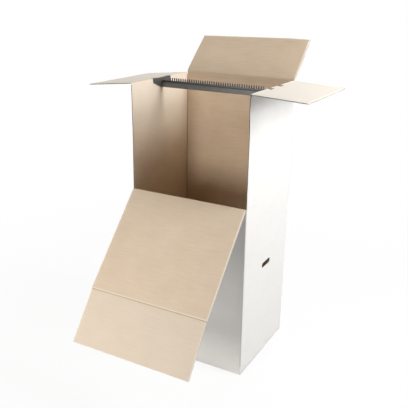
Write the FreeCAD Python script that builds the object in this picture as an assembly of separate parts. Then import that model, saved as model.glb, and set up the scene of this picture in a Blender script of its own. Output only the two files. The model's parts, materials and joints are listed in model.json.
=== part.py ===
import FreeCAD, Part
import math
import os

# Wardrobe moving box: a tall corrugated board box for clothes on hangers. A plastic rail hooks over
# the side walls, the upper front folds down as a door, and four lid flaps close the top.
# Millimetres, X to the right, Y to the back, Z up. The origin is the middle of the base on the floor.
# The box stands open: door hanging out, side lids folded out, back lid leaning back.

# Outside of the box
box_width = 600.0
box_depth = 510.0
side_crease_height = 1350.0
door_crease_height = 845.0

# Corrugated board and how it is cut and folded
board = 4.0
fold_inner_radius = 2.0
flap_slot = 2.0
meeting_gap = 1.0
clearance = 0.3
crease_radius = 1.2

# Largest outward folds from upright, in degrees
lid_fold_limit = 135.0
front_lid_fold_limit = 42.0

# Folds of the open box as it stands, in degrees outward from upright
door_fold = 138.1
front_lid_fold = 5.4
left_lid_fold = 95.7
right_lid_fold = 93.3
back_lid_fold = 44.1

# Hand holes in the side walls, and the tabs pushed in through them
hand_hole_width = 95.0
hand_hole_height = 26.0
hand_hole_level = 496.0
hand_cut_gap = 0.5
hand_crease_radius = 1.0
hand_tab_fold = 115.0

# Glued joint strip inside the right wall
glue_tab_width = 38.0
glue_tab_end_gap = 20.0

# Tape along the seam of the bottom
tape_width = 50.0
tape_thickness = 0.3

# Hooks of the rail: an end plate inside each wall, with two prongs over the wall
prong_width = 40.0
prong_spacing = 110.0
prong_thickness = 5.0
prong_drop = 24.0
prong_chamfer = 2.0
hook_plate = 3.0
hook_plate_width = 150.0
hook_shoulder = 22.0
spigot_length = 28.0

# Beam of the rail: a channel open below, a web on its top and a row of teeth on the web
beam_depth = 24.0
beam_height = 23.0
beam_wall = 2.5
web_thickness = 5.0
web_height = 9.0
tooth_width = 6.0
tooth_height = 14.0
tooth_pitch = 12.0
tooth_crown = 1.5
tooth_end_margin = 45.0

# Sizes that follow from the ones above
half_width = box_width / 2
half_depth = box_depth / 2
inner_x = half_width - board
inner_y = half_depth - board
fold_outer_radius = fold_inner_radius + board
flat_x = half_width - fold_outer_radius
flat_y = half_depth - fold_outer_radius
main_crease_height = side_crease_height + board + clearance
door_height = main_crease_height - door_crease_height
front_edge_y = inner_y - clearance
main_flap_half_width = half_width - flap_slot / 2
side_lid_half_width = flat_y - flap_slot / 2
lid_length = inner_y - meeting_gap / 2
inner_bottom_level = board
side_wall_bottom = inner_bottom_level + fold_outer_radius
corner_fold_top = side_crease_height - board * math.tan(math.radians(lid_fold_limit / 2))

prong_top = side_crease_height - clearance
prong_bottom = prong_top - prong_thickness
notch_bottom = prong_bottom - clearance
notch_inner = prong_spacing / 2 - prong_width / 2 - clearance
notch_outer = prong_spacing / 2 + prong_width / 2 + clearance
prong_reach = board + clearance + prong_thickness
limit_turn = math.radians(lid_fold_limit)
lid_notch_depth = (prong_reach + clearance - board * math.cos(limit_turn)) / math.sin(limit_turn)

hook_face_x = inner_x - crease_radius - clearance
beam_end_x = hook_face_x - hook_plate - clearance
tooth_base = prong_top - tooth_height
beam_top = tooth_base - web_height
beam_bottom = beam_top - beam_height
channel_ceiling = beam_top - beam_wall

X_AXIS = FreeCAD.Vector(1, 0, 0)
Y_AXIS = FreeCAD.Vector(0, 1, 0)
Z_AXIS = FreeCAD.Vector(0, 0, 1)


def point(x, y, z):
    return FreeCAD.Vector(x, y, z)


def block(low, high):
    size = high - low
    return Part.makeBox(size.x, size.y, size.z, low)


def prism(corners, run):
    outline = Part.makePolygon(corners + [corners[0]])
    return Part.Face(outline).extrude(run)


def turned(shape, about, axis, degrees):
    result = shape.copy()
    result.rotate(about, axis, degrees)
    return result


# A panel from a fold line to its far edge. The fold line lies on one face of the board, and "across"
# points from that face through the board. The end is rounded clear of the pressed crease and leans
# back by half the fold limit, so that two such ends can fold towards each other.
def creased_panel(fold_point, across, along, run, length, fold_limit):
    lean = math.radians(fold_limit / 2)
    reach = crease_radius + clearance
    gap = clearance / 2
    start = math.sqrt(reach ** 2 - gap ** 2)
    tip_u = start * math.cos(lean) - gap * math.sin(lean)
    tip_v = start * math.sin(lean) + gap * math.cos(lean)
    back_v = (gap + board * math.sin(lean)) / math.cos(lean)
    middle = (math.pi / 2 + math.atan2(tip_v, tip_u)) / 2

    def place(u, v):
        return fold_point + across * u + along * v

    near = place(0, reach)
    far = place(0, length)
    far_back = place(board, length)
    near_back = place(board, back_v)
    tip = place(tip_u, tip_v)
    bend = place(reach * math.cos(middle), reach * math.sin(middle))
    edges = [
        Part.makeLine(near, far),
        Part.makeLine(far, far_back),
        Part.makeLine(far_back, near_back),
        Part.makeLine(near_back, tip),
        Part.Arc(tip, bend, near).toShape(),
    ]
    return Part.Face(Part.Wire(edges)).extrude(run)


# A quarter turn of the board between two flat panels, bent about a line outside its inner face.
def quarter_fold(centre, first, second, run):
    diagonal = (first + second).normalize()
    outer = Part.Arc(
        centre + first * fold_outer_radius,
        centre + diagonal * fold_outer_radius,
        centre + second * fold_outer_radius,
    ).toShape()
    inner = Part.Arc(
        centre + second * fold_inner_radius,
        centre + diagonal * fold_inner_radius,
        centre + first * fold_inner_radius,
    ).toShape()
    edges = [
        outer,
        Part.makeLine(centre + second * fold_outer_radius, centre + second * fold_inner_radius),
        inner,
        Part.makeLine(centre + first * fold_inner_radius, centre + first * fold_outer_radius),
    ]
    return Part.Face(Part.Wire(edges)).extrude(run)


# A slot with round ends, lying along Y, cut through the board from x_low to x_high.
def hand_slot(x_low, x_high, inset):
    radius = hand_hole_height / 2 - inset
    reach = hand_hole_width / 2 - hand_hole_height / 2
    low = point(x_low, -reach, hand_hole_level - radius)
    high = point(x_high, reach, hand_hole_level + radius)
    slot = block(low, high)
    for side in (-1, 1):
        end = point(x_low, side * reach, hand_hole_level)
        slot = slot.fuse(Part.makeCylinder(radius, x_high - x_low, end, X_AXIS))
    return slot.removeSplitter()


# The two gaps that the prongs of a hook pass through, as (low y, high y).
def notch_spans():
    return [(-notch_outer, -notch_inner), (notch_inner, notch_outer)]


def side_wall(side):
    across = X_AXIS * side
    down = Z_AXIS * -1
    rear_start = point(side * inner_x, -flat_y, side_crease_height)
    rear_run = Y_AXIS * (2 * flat_y)
    rear_length = side_crease_height - side_wall_bottom
    wall = creased_panel(rear_start, across, down, rear_run, rear_length, lid_fold_limit)
    edge_start = point(side * inner_x, -front_edge_y, side_crease_height)
    edge_run = Y_AXIS * (front_edge_y - flat_y)
    edge_length = side_crease_height - door_crease_height
    edge = creased_panel(edge_start, across, down, edge_run, edge_length, lid_fold_limit)
    wall = wall.fuse(edge).removeSplitter()
    x_low = min(side * inner_x, side * half_width)
    x_high = max(side * inner_x, side * half_width)
    for y_low, y_high in notch_spans():
        low = point(x_low, y_low, notch_bottom)
        high = point(x_high, y_high, side_crease_height)
        wall = wall.cut(block(low, high))
    wall = wall.cut(hand_slot(x_low, x_high, 0.0))
    return wall.cut(hand_crease_room(x_low, x_high))


# The room above the hand hole's upper edge that the crease of the tab turns in.
def hand_crease_room(x_low, x_high):
    reach = hand_hole_width / 2 - hand_hole_height / 2
    level = hand_hole_level + hand_hole_height / 2
    room = hand_crease_radius + clearance
    return block(point(x_low, -reach, level), point(x_high, reach, level + room))


def side_lid(side, fold):
    fold_start = point(side * inner_x, -side_lid_half_width, side_crease_height)
    run = Y_AXIS * (2 * side_lid_half_width)
    lid = creased_panel(fold_start, X_AXIS * side, Z_AXIS, run, lid_length, lid_fold_limit)
    x_low = min(side * inner_x, side * half_width)
    x_high = max(side * inner_x, side * half_width)
    for y_low, y_high in notch_spans():
        low = point(x_low, y_low, side_crease_height)
        high = point(x_high, y_high, side_crease_height + lid_notch_depth)
        lid = lid.cut(block(low, high))
    return turned(lid, fold_start, Y_AXIS * side, fold)


def side_lid_crease(side):
    stops = [-flat_y, -notch_outer, -notch_inner, notch_inner, notch_outer, flat_y]
    beads = []
    for low, high in zip(stops[0::2], stops[1::2]):
        start = point(side * inner_x, low, side_crease_height)
        beads.append(Part.makeCylinder(crease_radius, high - low, start, Y_AXIS))
    return Part.makeCompound(beads)


def hand_tab(side):
    x_low = min(side * inner_x, side * half_width)
    x_high = max(side * inner_x, side * half_width)
    reach = hand_hole_width / 2 - hand_hole_height / 2
    level = hand_hole_level + hand_hole_height / 2
    tab = hand_slot(x_low, x_high, hand_cut_gap)
    fold_start = point(side * inner_x, -reach, level)
    room = hand_crease_radius + clearance
    top = block(point(x_low, -hand_hole_width, level - room), point(x_high, hand_hole_width, level))
    tab = tab.cut(top)
    return turned(tab, fold_start, Y_AXIS * side, hand_tab_fold)


def hand_crease(side):
    reach = hand_hole_width / 2 - hand_hole_height / 2 - clearance
    level = hand_hole_level + hand_hole_height / 2
    start = point(side * inner_x, -reach, level)
    return Part.makeCylinder(hand_crease_radius, 2 * reach, start, Y_AXIS)


def back_wall():
    start = point(-flat_x, inner_y, main_crease_height)
    length = main_crease_height - fold_outer_radius
    run = X_AXIS * (2 * flat_x)
    return creased_panel(start, Y_AXIS, Z_AXIS * -1, run, length, lid_fold_limit)


def back_lid():
    start = point(-main_flap_half_width, inner_y, main_crease_height)
    run = X_AXIS * (2 * main_flap_half_width)
    lid = creased_panel(start, Y_AXIS, Z_AXIS, run, lid_length, lid_fold_limit)
    return turned(lid, start, X_AXIS * -1, back_lid_fold)


def back_lid_crease():
    start = point(-flat_x, inner_y, main_crease_height)
    return Part.makeCylinder(crease_radius, 2 * flat_x, start, X_AXIS)


# The door turns on a crease in its outer face, so it can fold right down against the front wall.
def door_line(x):
    return point(x, -half_depth, door_crease_height)


def front_wall():
    length = door_crease_height - fold_outer_radius
    run = X_AXIS * (2 * flat_x)
    return creased_panel(door_line(-flat_x), Y_AXIS, Z_AXIS * -1, run, length, 0.0)


def door_crease():
    return Part.makeCylinder(crease_radius, 2 * flat_x, door_line(-flat_x), X_AXIS)


def front_lid_line(x):
    return point(x, -inner_y, main_crease_height)


def hung_with_door(shape):
    return turned(shape, door_line(0.0), X_AXIS, door_fold)


def front_door():
    run = X_AXIS * (2 * main_flap_half_width)
    foot = creased_panel(door_line(-main_flap_half_width), Y_AXIS, Z_AXIS, run, door_height, 0.0)
    head_start = front_lid_line(-main_flap_half_width)
    down = Z_AXIS * -1
    head = creased_panel(head_start, Y_AXIS * -1, down, run, door_height, front_lid_fold_limit)
    return hung_with_door(foot.common(head))


def front_lid():
    start = front_lid_line(-main_flap_half_width)
    run = X_AXIS * (2 * main_flap_half_width)
    lid = creased_panel(start, Y_AXIS * -1, Z_AXIS, run, lid_length, front_lid_fold_limit)
    return hung_with_door(turned(lid, start, X_AXIS, front_lid_fold))


def front_lid_crease():
    start = front_lid_line(-main_flap_half_width)
    return hung_with_door(Part.makeCylinder(crease_radius, 2 * main_flap_half_width, start, X_AXIS))


# An upright corner from one bottom level to one top level.
def corner_fold(side_x, side_y, top):
    centre = point(side_x * flat_x, side_y * flat_y, fold_outer_radius)
    return quarter_fold(centre, X_AXIS * side_x, Y_AXIS * side_y, Z_AXIS * (top - fold_outer_radius))


def main_bottom_fold(side_y):
    centre = point(-flat_x, side_y * flat_y, fold_outer_radius)
    return quarter_fold(centre, Y_AXIS * side_y, Z_AXIS * -1, X_AXIS * (2 * flat_x))


def side_bottom_fold(side_x):
    centre = point(side_x * flat_x, -flat_y, side_wall_bottom)
    return quarter_fold(centre, X_AXIS * side_x, Z_AXIS * -1, Y_AXIS * (2 * flat_y))


def bottom_tape():
    low = point(-main_flap_half_width, -tape_width / 2, 0.0)
    return block(low, point(main_flap_half_width, tape_width / 2, tape_thickness))


# The outer bottom flaps are pressed in by the thickness of the tape, so the base stays flat.
def main_bottom_flap(side_y):
    ends = sorted([side_y * flat_y, side_y * meeting_gap / 2])
    low = point(-main_flap_half_width, ends[0], 0.0)
    flap = block(low, point(main_flap_half_width, ends[1], board))
    return flap.cut(bottom_tape())


def side_bottom_flap(side_x):
    ends = sorted([side_x * flat_x, side_x * (inner_x - lid_length)])
    low = point(ends[0], -flat_y, inner_bottom_level)
    return block(low, point(ends[1], flat_y, inner_bottom_level + board))


def glue_tab():
    low = point(inner_x - board, flat_y - glue_tab_width, side_wall_bottom + glue_tab_end_gap)
    return block(low, point(inner_x, flat_y, corner_fold_top - glue_tab_end_gap))


def rail_beam():
    low = point(-beam_end_x, -beam_depth / 2, beam_bottom)
    beam = block(low, point(beam_end_x, beam_depth / 2, beam_top))
    hollow_y = beam_depth / 2 - beam_wall
    hollow = block(point(-beam_end_x, -hollow_y, beam_bottom), point(beam_end_x, hollow_y, channel_ceiling))
    web_low = point(-beam_end_x, -web_thickness / 2, beam_top)
    web = block(web_low, point(beam_end_x, web_thickness / 2, tooth_base))
    return beam.cut(hollow).fuse(web).removeSplitter()


def hanger_tooth(x):
    front = -web_thickness / 2
    shoulder = prong_top - tooth_crown
    low_left = point(x - tooth_width / 2, front, tooth_base)
    low_right = point(x + tooth_width / 2, front, tooth_base)
    high_right = point(x + tooth_width / 2, front, shoulder)
    high_left = point(x - tooth_width / 2, front, shoulder)
    edges = [
        Part.makeLine(low_left, low_right),
        Part.makeLine(low_right, high_right),
        Part.Arc(high_right, point(x, front, prong_top), high_left).toShape(),
        Part.makeLine(high_left, low_left),
    ]
    return Part.Face(Part.Wire(edges)).extrude(Y_AXIS * web_thickness)


def hanger_teeth():
    room = 2 * (beam_end_x - tooth_end_margin)
    gaps = int(room / tooth_pitch)
    first = -gaps * tooth_pitch / 2
    return Part.makeCompound([hanger_tooth(first + i * tooth_pitch) for i in range(gaps + 1)])


# One prong: a strap over the wall's edge that turns down outside it, with its outer corner cut back.
def prong(side, centre_y):
    start_y = centre_y - prong_width / 2
    outer = half_width + clearance
    tip = outer + prong_thickness
    low = prong_top - prong_drop
    profile = [
        (hook_face_x - hook_plate, prong_bottom),
        (hook_face_x - hook_plate, prong_top),
        (tip - prong_chamfer, prong_top),
        (tip, prong_top - prong_chamfer),
        (tip, low),
        (outer, low),
        (outer, prong_bottom),
    ]
    corners = [point(side * x, start_y, z) for x, z in profile]
    return prism(corners, Y_AXIS * prong_width)


def rail_hook(side):
    inside = hook_face_x - hook_plate
    half_plate = hook_plate_width / 2
    outline = [
        (-half_plate, prong_top),
        (half_plate, prong_top),
        (half_plate, prong_top - hook_shoulder),
        (beam_depth / 2, beam_bottom),
        (-beam_depth / 2, beam_bottom),
        (-half_plate, prong_top - hook_shoulder),
    ]
    corners = [point(side * inside, y, z) for y, z in outline]
    hook = prism(corners, X_AXIS * side * hook_plate)
    for side_y in (-1, 1):
        hook = hook.fuse(prong(side, side_y * prong_spacing / 2))
    ends = sorted([side * inside, side * (inside - spigot_length)])
    spigot_y = beam_depth / 2 - beam_wall - clearance
    spigot = block(point(ends[0], -spigot_y, beam_bottom), point(ends[1], spigot_y, channel_ceiling))
    return hook.fuse(spigot).removeSplitter()


parts = {
    "back_wall": back_wall(),
    "left_wall": side_wall(-1),
    "right_wall": side_wall(1),
    "front_wall": front_wall(),
    "back_left_fold": corner_fold(-1, 1, corner_fold_top),
    "back_right_fold": corner_fold(1, 1, corner_fold_top),
    "front_left_fold": corner_fold(-1, -1, door_crease_height - clearance),
    "front_right_fold": corner_fold(1, -1, door_crease_height - clearance),
    "glue_tab": glue_tab(),
    "front_bottom_flap": main_bottom_flap(-1),
    "back_bottom_flap": main_bottom_flap(1),
    "left_bottom_flap": side_bottom_flap(-1),
    "right_bottom_flap": side_bottom_flap(1),
    "front_bottom_fold": main_bottom_fold(-1),
    "back_bottom_fold": main_bottom_fold(1),
    "left_bottom_fold": side_bottom_fold(-1),
    "right_bottom_fold": side_bottom_fold(1),
    "bottom_tape": bottom_tape(),
    "front_door": front_door(),
    "front_lid": front_lid(),
    "left_lid": side_lid(-1, left_lid_fold),
    "right_lid": side_lid(1, right_lid_fold),
    "back_lid": back_lid(),
    "door_crease": door_crease(),
    "front_lid_crease": front_lid_crease(),
    "left_lid_crease": side_lid_crease(-1),
    "right_lid_crease": side_lid_crease(1),
    "back_lid_crease": back_lid_crease(),
    "left_hand_tab": hand_tab(-1),
    "right_hand_tab": hand_tab(1),
    "left_hand_crease": hand_crease(-1),
    "right_hand_crease": hand_crease(1),
    "rail_beam": rail_beam(),
    "hanger_teeth": hanger_teeth(),
    "left_rail_hook": rail_hook(-1),
    "right_rail_hook": rail_hook(1),
}

os.makedirs("parts", exist_ok=True)
for name, shape in parts.items():
    if not shape.isValid():
        raise ValueError(name + " is not a valid shape")
    shape.exportStep("parts/" + name + ".step")
    print(name, len(shape.Solids), round(shape.Volume))
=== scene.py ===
"""Looks of a wardrobe moving box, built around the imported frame.

The box is corrugated board. Every panel is two paper liners with a fluted sheet between them: white outside,
brown kraft inside, and open flutes along the cut edges. A dark plastic rail with teeth hangs across the top.
All lengths are metres. On a panel, s runs along its fold line, t runs away from that line, and u runs through
the board from the kraft face to the white face.
"""

import json
import logging
import math
from collections.abc import Callable, Iterable
from dataclasses import dataclass, field
from enum import Enum

import bpy
import numpy as np
from mathutils import Matrix, Vector


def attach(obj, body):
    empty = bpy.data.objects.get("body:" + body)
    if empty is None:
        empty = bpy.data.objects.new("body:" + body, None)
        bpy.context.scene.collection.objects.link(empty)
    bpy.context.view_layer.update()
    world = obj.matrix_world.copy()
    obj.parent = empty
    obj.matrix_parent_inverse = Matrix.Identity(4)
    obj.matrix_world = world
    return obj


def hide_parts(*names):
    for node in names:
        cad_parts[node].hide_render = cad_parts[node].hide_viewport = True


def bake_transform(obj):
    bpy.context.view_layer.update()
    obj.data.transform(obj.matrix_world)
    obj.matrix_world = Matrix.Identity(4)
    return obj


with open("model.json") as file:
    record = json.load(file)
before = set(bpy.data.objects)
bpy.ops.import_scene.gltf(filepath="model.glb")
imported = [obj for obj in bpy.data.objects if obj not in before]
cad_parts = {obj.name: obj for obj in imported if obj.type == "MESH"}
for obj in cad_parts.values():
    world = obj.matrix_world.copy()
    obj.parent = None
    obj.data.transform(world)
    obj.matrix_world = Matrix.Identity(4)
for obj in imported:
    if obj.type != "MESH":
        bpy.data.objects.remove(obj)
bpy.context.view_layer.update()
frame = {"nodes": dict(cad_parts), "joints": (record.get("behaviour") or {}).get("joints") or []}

Array = np.ndarray
Triple = tuple[float, float, float]
Colour = Triple
Pair = tuple[float, float]
Material = bpy.types.Material
Node = bpy.types.Node
NodeTree = bpy.types.NodeTree
Piece = bpy.types.Object
Socket = bpy.types.NodeSocket
Feed = Socket | float | tuple
Placing = Callable[[Array, Array, Array], Array]
Reading = Callable[[Array, Array], Array]
Ground = Callable[[Array, Array], tuple[Array, Array]]
log = logging.getLogger("wardrobe_box")

SHEET_MAP = "board_sheet"
RIM_VALUE = "rim"
# Attribute of painted light: how far the kraft is drawn in its paler colour.
PALE_VALUE = "pale"
SHEET_SHIFT = (0.37, 0.23)
FAR = 9.0
WELD = 1e-5
HAIR = 1e-9
GRID_DIGITS = 7
# Rim below 0 at which painted shade reaches the pressed colour.
SHADE_RIM = 0.001
# Width and start of the painted highlight along edges.
HIGHLIGHT_WIDTH = 0.007
HIGHLIGHT_START = 1.3
QUARTER = math.pi / 2
ALONG_X = [2, 0, 1]
ALONG_Y = [0, 2, 1]
WHITE_LIGHT = (1.0, 1.0, 1.0)
WARM_LIGHT = (1.0, 0.965, 0.92)


class Paper(Enum):
    """Papers of the board, numbered as the material slots of every board piece."""

    WHITE = 0
    KRAFT = 1
    RAW = 2
    FLUTE = 3


class Way(Enum):
    """A way along one axis of the box, as the sign of that axis."""

    @property
    def word(self) -> str:
        """The way as it stands in the names of nodes and joints."""
        return self.name.lower()


class Side(Way):
    """Left and right of the box, along X."""

    LEFT = -1
    RIGHT = 1

    @property
    def inward(self) -> Array:
        """Direction from this side to the middle of the box."""
        return np.array([-float(self.value), 0.0, 0.0])


class End(Way):
    """Front and back of the box, along Y."""

    FRONT = -1
    BACK = 1


# Shapes worked out as whole arrays


def turned(points: Array, at: Array, axis: Array, degrees: Array | float) -> Array:
    """Turns points about a line.

    The share of each arm along the axis stays, the rest swings by the cosine, and the cross product with the
    axis comes in by the sine.

    Args:
        points: places, one row each.
        at, axis: a point on the line, and its unit direction.
        degrees: one angle for all points, or one for each.

    Returns:
        The turned places.
    """
    angle = np.radians(np.broadcast_to(degrees, len(points)))[:, None]
    arm = points - at
    along = np.outer(arm @ axis, axis)
    return at + along + (arm - along) * np.cos(angle) + np.cross(axis, arm) * np.sin(angle)


def eased(x: Array) -> Array:
    """Smooth step from 0 to 1: three squares less two cubes."""
    x = np.clip(x, 0.0, 1.0)
    return x * x * (3.0 - 2.0 * x)


def rubbed(way: Array) -> Array:
    """How pale a painted highlight along an edge is: 1 for its first 2 mm, then falling evenly to 0 at 9 mm.
    """
    return np.clip(HIGHLIGHT_START - way / HIGHLIGHT_WIDTH, 0, 1)


def ruled(marks: Iterable[float], step: float) -> Array:
    """Grid lines through every mark, with evenly spaced lines between where a gap is wider than step.

    Args:
        marks: places that must have a line.
        step: widest gap allowed.

    Returns:
        The lines in rising order.
    """
    stops = np.unique(np.round(list(marks), GRID_DIGITS))
    counts = np.maximum(1, np.ceil(np.diff(stops) / step - 1e-6)).astype(int)
    runs = [np.linspace(a, b, n, endpoint=False) for a, b, n in zip(stops[:-1], stops[1:], counts)]
    return np.concatenate([*runs, stops[-1:]])


@dataclass
class Skin:
    """A mesh in the making.

    Attributes:
        points, quads, slots: places of the corners, corner numbers of the faces, and their material slots.
        sheet: place of each corner on the flat sheet.
        rim: way from each corner to the nearest edge or fold, and below 0 where shade is painted, in corner
            folds and behind a crease ridge.
        pale: how far the kraft paper is drawn in its paler colour at each corner, which paints light on it.
        caps: faces with more than four corners.
    """

    points: Array
    quads: Array
    slots: Array
    sheet: Array
    rim: Array
    pale: Array
    caps: list[list[int]] = field(default_factory=list)

    @classmethod
    def plain(cls, points: Array, quads: Array, caps: list[list[int]]) -> "Skin":
        """A skin of one material, with no edge to wear and no painted light."""
        far, unfaded = np.full(len(points), FAR), np.zeros(len(points))
        return cls(points, quads, np.zeros(len(quads), int), points[:, :2].copy(), far, unfaded, caps)

    def painted(self, paper: Paper) -> "Skin":
        """The same skin with every face in one paper."""
        self.slots = np.full(len(self.quads), paper.value)
        return self


def joined(skins: list[Skin]) -> Skin:
    """Puts several skins into one, with the corner numbers of each moved past those before it.

    Args:
        skins: in order.

    Returns:
        The one skin.
    """
    starts = np.cumsum([0] + [len(x.points) for x in skins[:-1]])
    quads = np.concatenate([x.quads + n for x, n in zip(skins, starts)])
    caps = [[k + int(n) for k in cap] for x, n in zip(skins, starts) for cap in x.caps]
    names = ("points", "slots", "sheet", "rim", "pale")
    return Skin(quads=quads, caps=caps, **{a: np.concatenate([getattr(x, a) for x in skins]) for a in names})


def welded(skin: Skin) -> Skin:
    """Makes corners that lie within a hundredth of a millimetre of each other into one.

    Args:
        skin: with doubled corners.

    Returns:
        The same shape with single ones.
    """
    keys = np.round(skin.points / WELD).astype(np.int64)
    _, first, number = np.unique(keys, axis=0, return_index=True, return_inverse=True)
    number = number.reshape(-1)
    caps = [[int(number[k]) for k in cap] for cap in skin.caps]
    kept = (skin.sheet[first], skin.rim[first], skin.pale[first])
    return Skin(skin.points[first], number[skin.quads], skin.slots, *kept, caps)


def facing_out(points: Array, quads: Array) -> Array:
    """Turns all faces round if the shell that they make has a negative volume.

    The volume is the sum of the tetrahedra from the middle of the points to the two halves of each face.

    Args:
        points: places of the corners.
        quads: corner numbers of the faces.

    Returns:
        The faces, all facing outwards.
    """
    a, b, c, d = (points[quads[:, n]] - points.mean(0) for n in range(4))
    volume = np.einsum("ij,ij->", a, np.cross(b, c)) + np.einsum("ij,ij->", a, np.cross(c, d))
    return quads if volume > 0 else quads[:, ::-1]


def block_faces(filled: Array) -> tuple[Array, Array, Array, Array]:
    """Finds the skin of a grid of blocks: a face stands wherever a filled block meets an empty one.

    Args:
        filled: which blocks are filled, along three directions.

    Returns:
        Grid numbers of each face's four corners, the direction it faces along, that direction's sign, and
        the numbers of its filled block.
    """
    found = []
    step = np.eye(3, dtype=int)
    for axis in range(3):
        low = np.pad(filled, [(1, 0) if k == axis else (0, 0) for k in range(3)])
        high = np.pad(filled, [(0, 1) if k == axis else (0, 0) for k in range(3)])
        one, two = step[(axis + 1) % 3], step[(axis + 2) % 3]
        for sign, mask in ((1, low & ~high), (-1, high & ~low)):
            base = np.argwhere(mask)
            ring = np.stack([base, base + one, base + one + two, base + two], axis=1)
            corners, blocks = (ring, base - step[axis]) if sign > 0 else (ring[:, ::-1], base)
            found.append((corners, np.full(len(base), axis), np.full(len(base), sign), blocks))
    return tuple(np.concatenate(x) for x in zip(*found))


def block_skin(
    lines: tuple[Array, Array, Array],
    filled: Array,
    place: Placing,
    ground: Ground | None = None,
    rim: Reading | None = None,
    pale: Reading | None = None,
    goes_on: Array | None = None,
    loop: bool = False,
    folds: tuple[bool, bool] = (False, False),
    white_sides: bool = False,
) -> Skin:
    """Makes the skin of a sheet that is cut and hollowed along grid lines.

    The sheet is a grid of blocks over s, t and the layers through it. The faces between filled and empty
    blocks are found, and each grid corner goes where place puts it.

    Args:
        lines: the grid lines along s, t and u.
        filled: which blocks are there.
        place: gives the place of each (s, t, u).
        ground: gives (s, t) for the first two grid values, where they aren't s and t themselves.
        rim, pale: give the way to the nearest edge, and how far the kraft is drawn in its paler colour of
            painted light, at each (s, t).
        goes_on: cells past which another skin goes on, with a border of one cell, so no face is made there.
        loop: whether the first direction closes on itself.
        folds: whether the first and last line along t are folds, whose faces are white.
        white_sides: whether the faces along s are white too, as where an edge is pressed shut.

    Returns:
        The skin, with kraft at the low end of u, white at the high end and raw paper between.
    """
    corners, axis, sign, block = block_faces(filled)
    keep = np.ones(len(axis), bool)
    if loop:
        keep &= axis != 0
        corners[..., 0] %= len(lines[0])
    if goes_on is not None:
        past = block + sign[:, None] * np.eye(3, dtype=int)[axis]
        keep &= (axis == 2) | ~goes_on[past[:, 0] + 1, past[:, 1] + 1]
    corners, axis, sign, block = corners[keep], axis[keep], sign[keep], block[keep]
    size = tuple(len(x) for x in lines)
    used, quads = np.unique(np.ravel_multi_index(np.moveaxis(corners, -1, 0), size), return_inverse=True)
    quads = quads.reshape(-1, 4)
    i, j, k = np.unravel_index(used, size)
    s, t = lines[0][i], lines[1][j]
    if ground is not None:
        s, t = ground(s, t)
    points = place(s, t, lines[2][k])
    last = filled.shape[2] - 1
    slots = np.full(len(quads), Paper.RAW.value)
    slots[(block[:, 2] == 0) & ~((axis == 2) & (sign > 0))] = Paper.KRAFT.value
    slots[(block[:, 2] == last) & ~((axis == 2) & (sign < 0))] = Paper.WHITE.value
    if white_sides:
        slots[axis == 0] = Paper.WHITE.value
    for is_fold, row, way in ((folds[0], 0, -1), (folds[1], filled.shape[1] - 1, 1)):
        if is_fold:
            slots[(axis == 1) & (sign == way) & (block[:, 1] == row)] = Paper.WHITE.value
    edge = np.full(len(points), FAR) if rim is None else np.broadcast_to(rim(s, t), len(points))
    faded = np.zeros(len(points)) if pale is None else pale(s, t)
    return Skin(points, facing_out(points, quads), slots, np.stack([s, t], axis=1), edge, faded)


def carried(rings: Array, shut: bool = True) -> Skin:
    """Joins a row of closed rings into a tube with flat ends.

    Args:
        rings: places, as (ring, corner, 3).
        shut: whether the two ends get a face.

    Returns:
        The tube's skin.
    """
    count, size = rings.shape[:2]
    grid = np.arange(count * size).reshape(count, size)
    beside = np.roll(grid, -1, axis=1)
    quads = np.stack([grid[:-1], beside[:-1], beside[1:], grid[1:]], axis=-1).reshape(-1, 4)
    points = rings.reshape(-1, 3)
    out = facing_out(points, quads)
    flipped = not np.array_equal(out, quads)
    ends = [grid[0][::-1].tolist(), grid[-1].tolist()]
    return Skin.plain(points, out, [x[::-1] if flipped else x for x in ends] if shut else [])


def filleted(corners: Array, radius: Array | float, steps: int = 4) -> Array:
    """Rounds the corners of a flat closed outline.

    Each corner becomes an arc that touches both its sides: the arms from the arc's middle to the two touching
    points are blended by the sines of the angle's shares.

    Args:
        corners: outline, as (corner, 2).
        radius: one radius, or one for each corner.
        steps: pieces of each arc.

    Returns:
        The rounded outline, as (corner, 2).
    """
    before = np.roll(corners, 1, axis=0) - corners
    after = np.roll(corners, -1, axis=0) - corners
    before /= np.linalg.norm(before, axis=1, keepdims=True)
    after /= np.linalg.norm(after, axis=1, keepdims=True)
    half = np.arccos(np.clip((before * after).sum(1), -1, 1)) / 2
    r = np.broadcast_to(radius, len(corners))
    middle_way = (before + after) / np.linalg.norm(before + after, axis=1, keepdims=True)
    middle = corners + middle_way * (r / np.sin(half))[:, None]
    reach = (r / np.tan(half))[:, None]
    first, second = corners + before * reach - middle, corners + after * reach - middle
    swing = (math.pi - 2 * half)[:, None, None]
    share = np.linspace(0, 1, steps + 1)[None, :, None]
    arm = np.sin((1 - share) * swing) * first[:, None] + np.sin(share * swing) * second[:, None]
    return (middle[:, None] + arm / np.sin(swing)).reshape(-1, 2)


def inset(outline: Array, way: Array) -> Array:
    """Moves a flat closed outline inwards.

    Each corner goes along the sum of its two side normals, divided by one plus their product.

    Args:
        outline: corners that run anticlockwise, as (corner, 2).
        way: distances, as (ring,).

    Returns:
        The moved outlines, as (ring, corner, 2).
    """
    run = np.roll(outline, -1, axis=0) - outline
    normal = np.stack([-run[:, 1], run[:, 0]], axis=1) / np.linalg.norm(run, axis=1, keepdims=True)
    last = np.roll(normal, 1, axis=0)
    push = (last + normal) / (1 + (last * normal).sum(1, keepdims=True))
    return outline + way[:, None, None] * push


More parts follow.
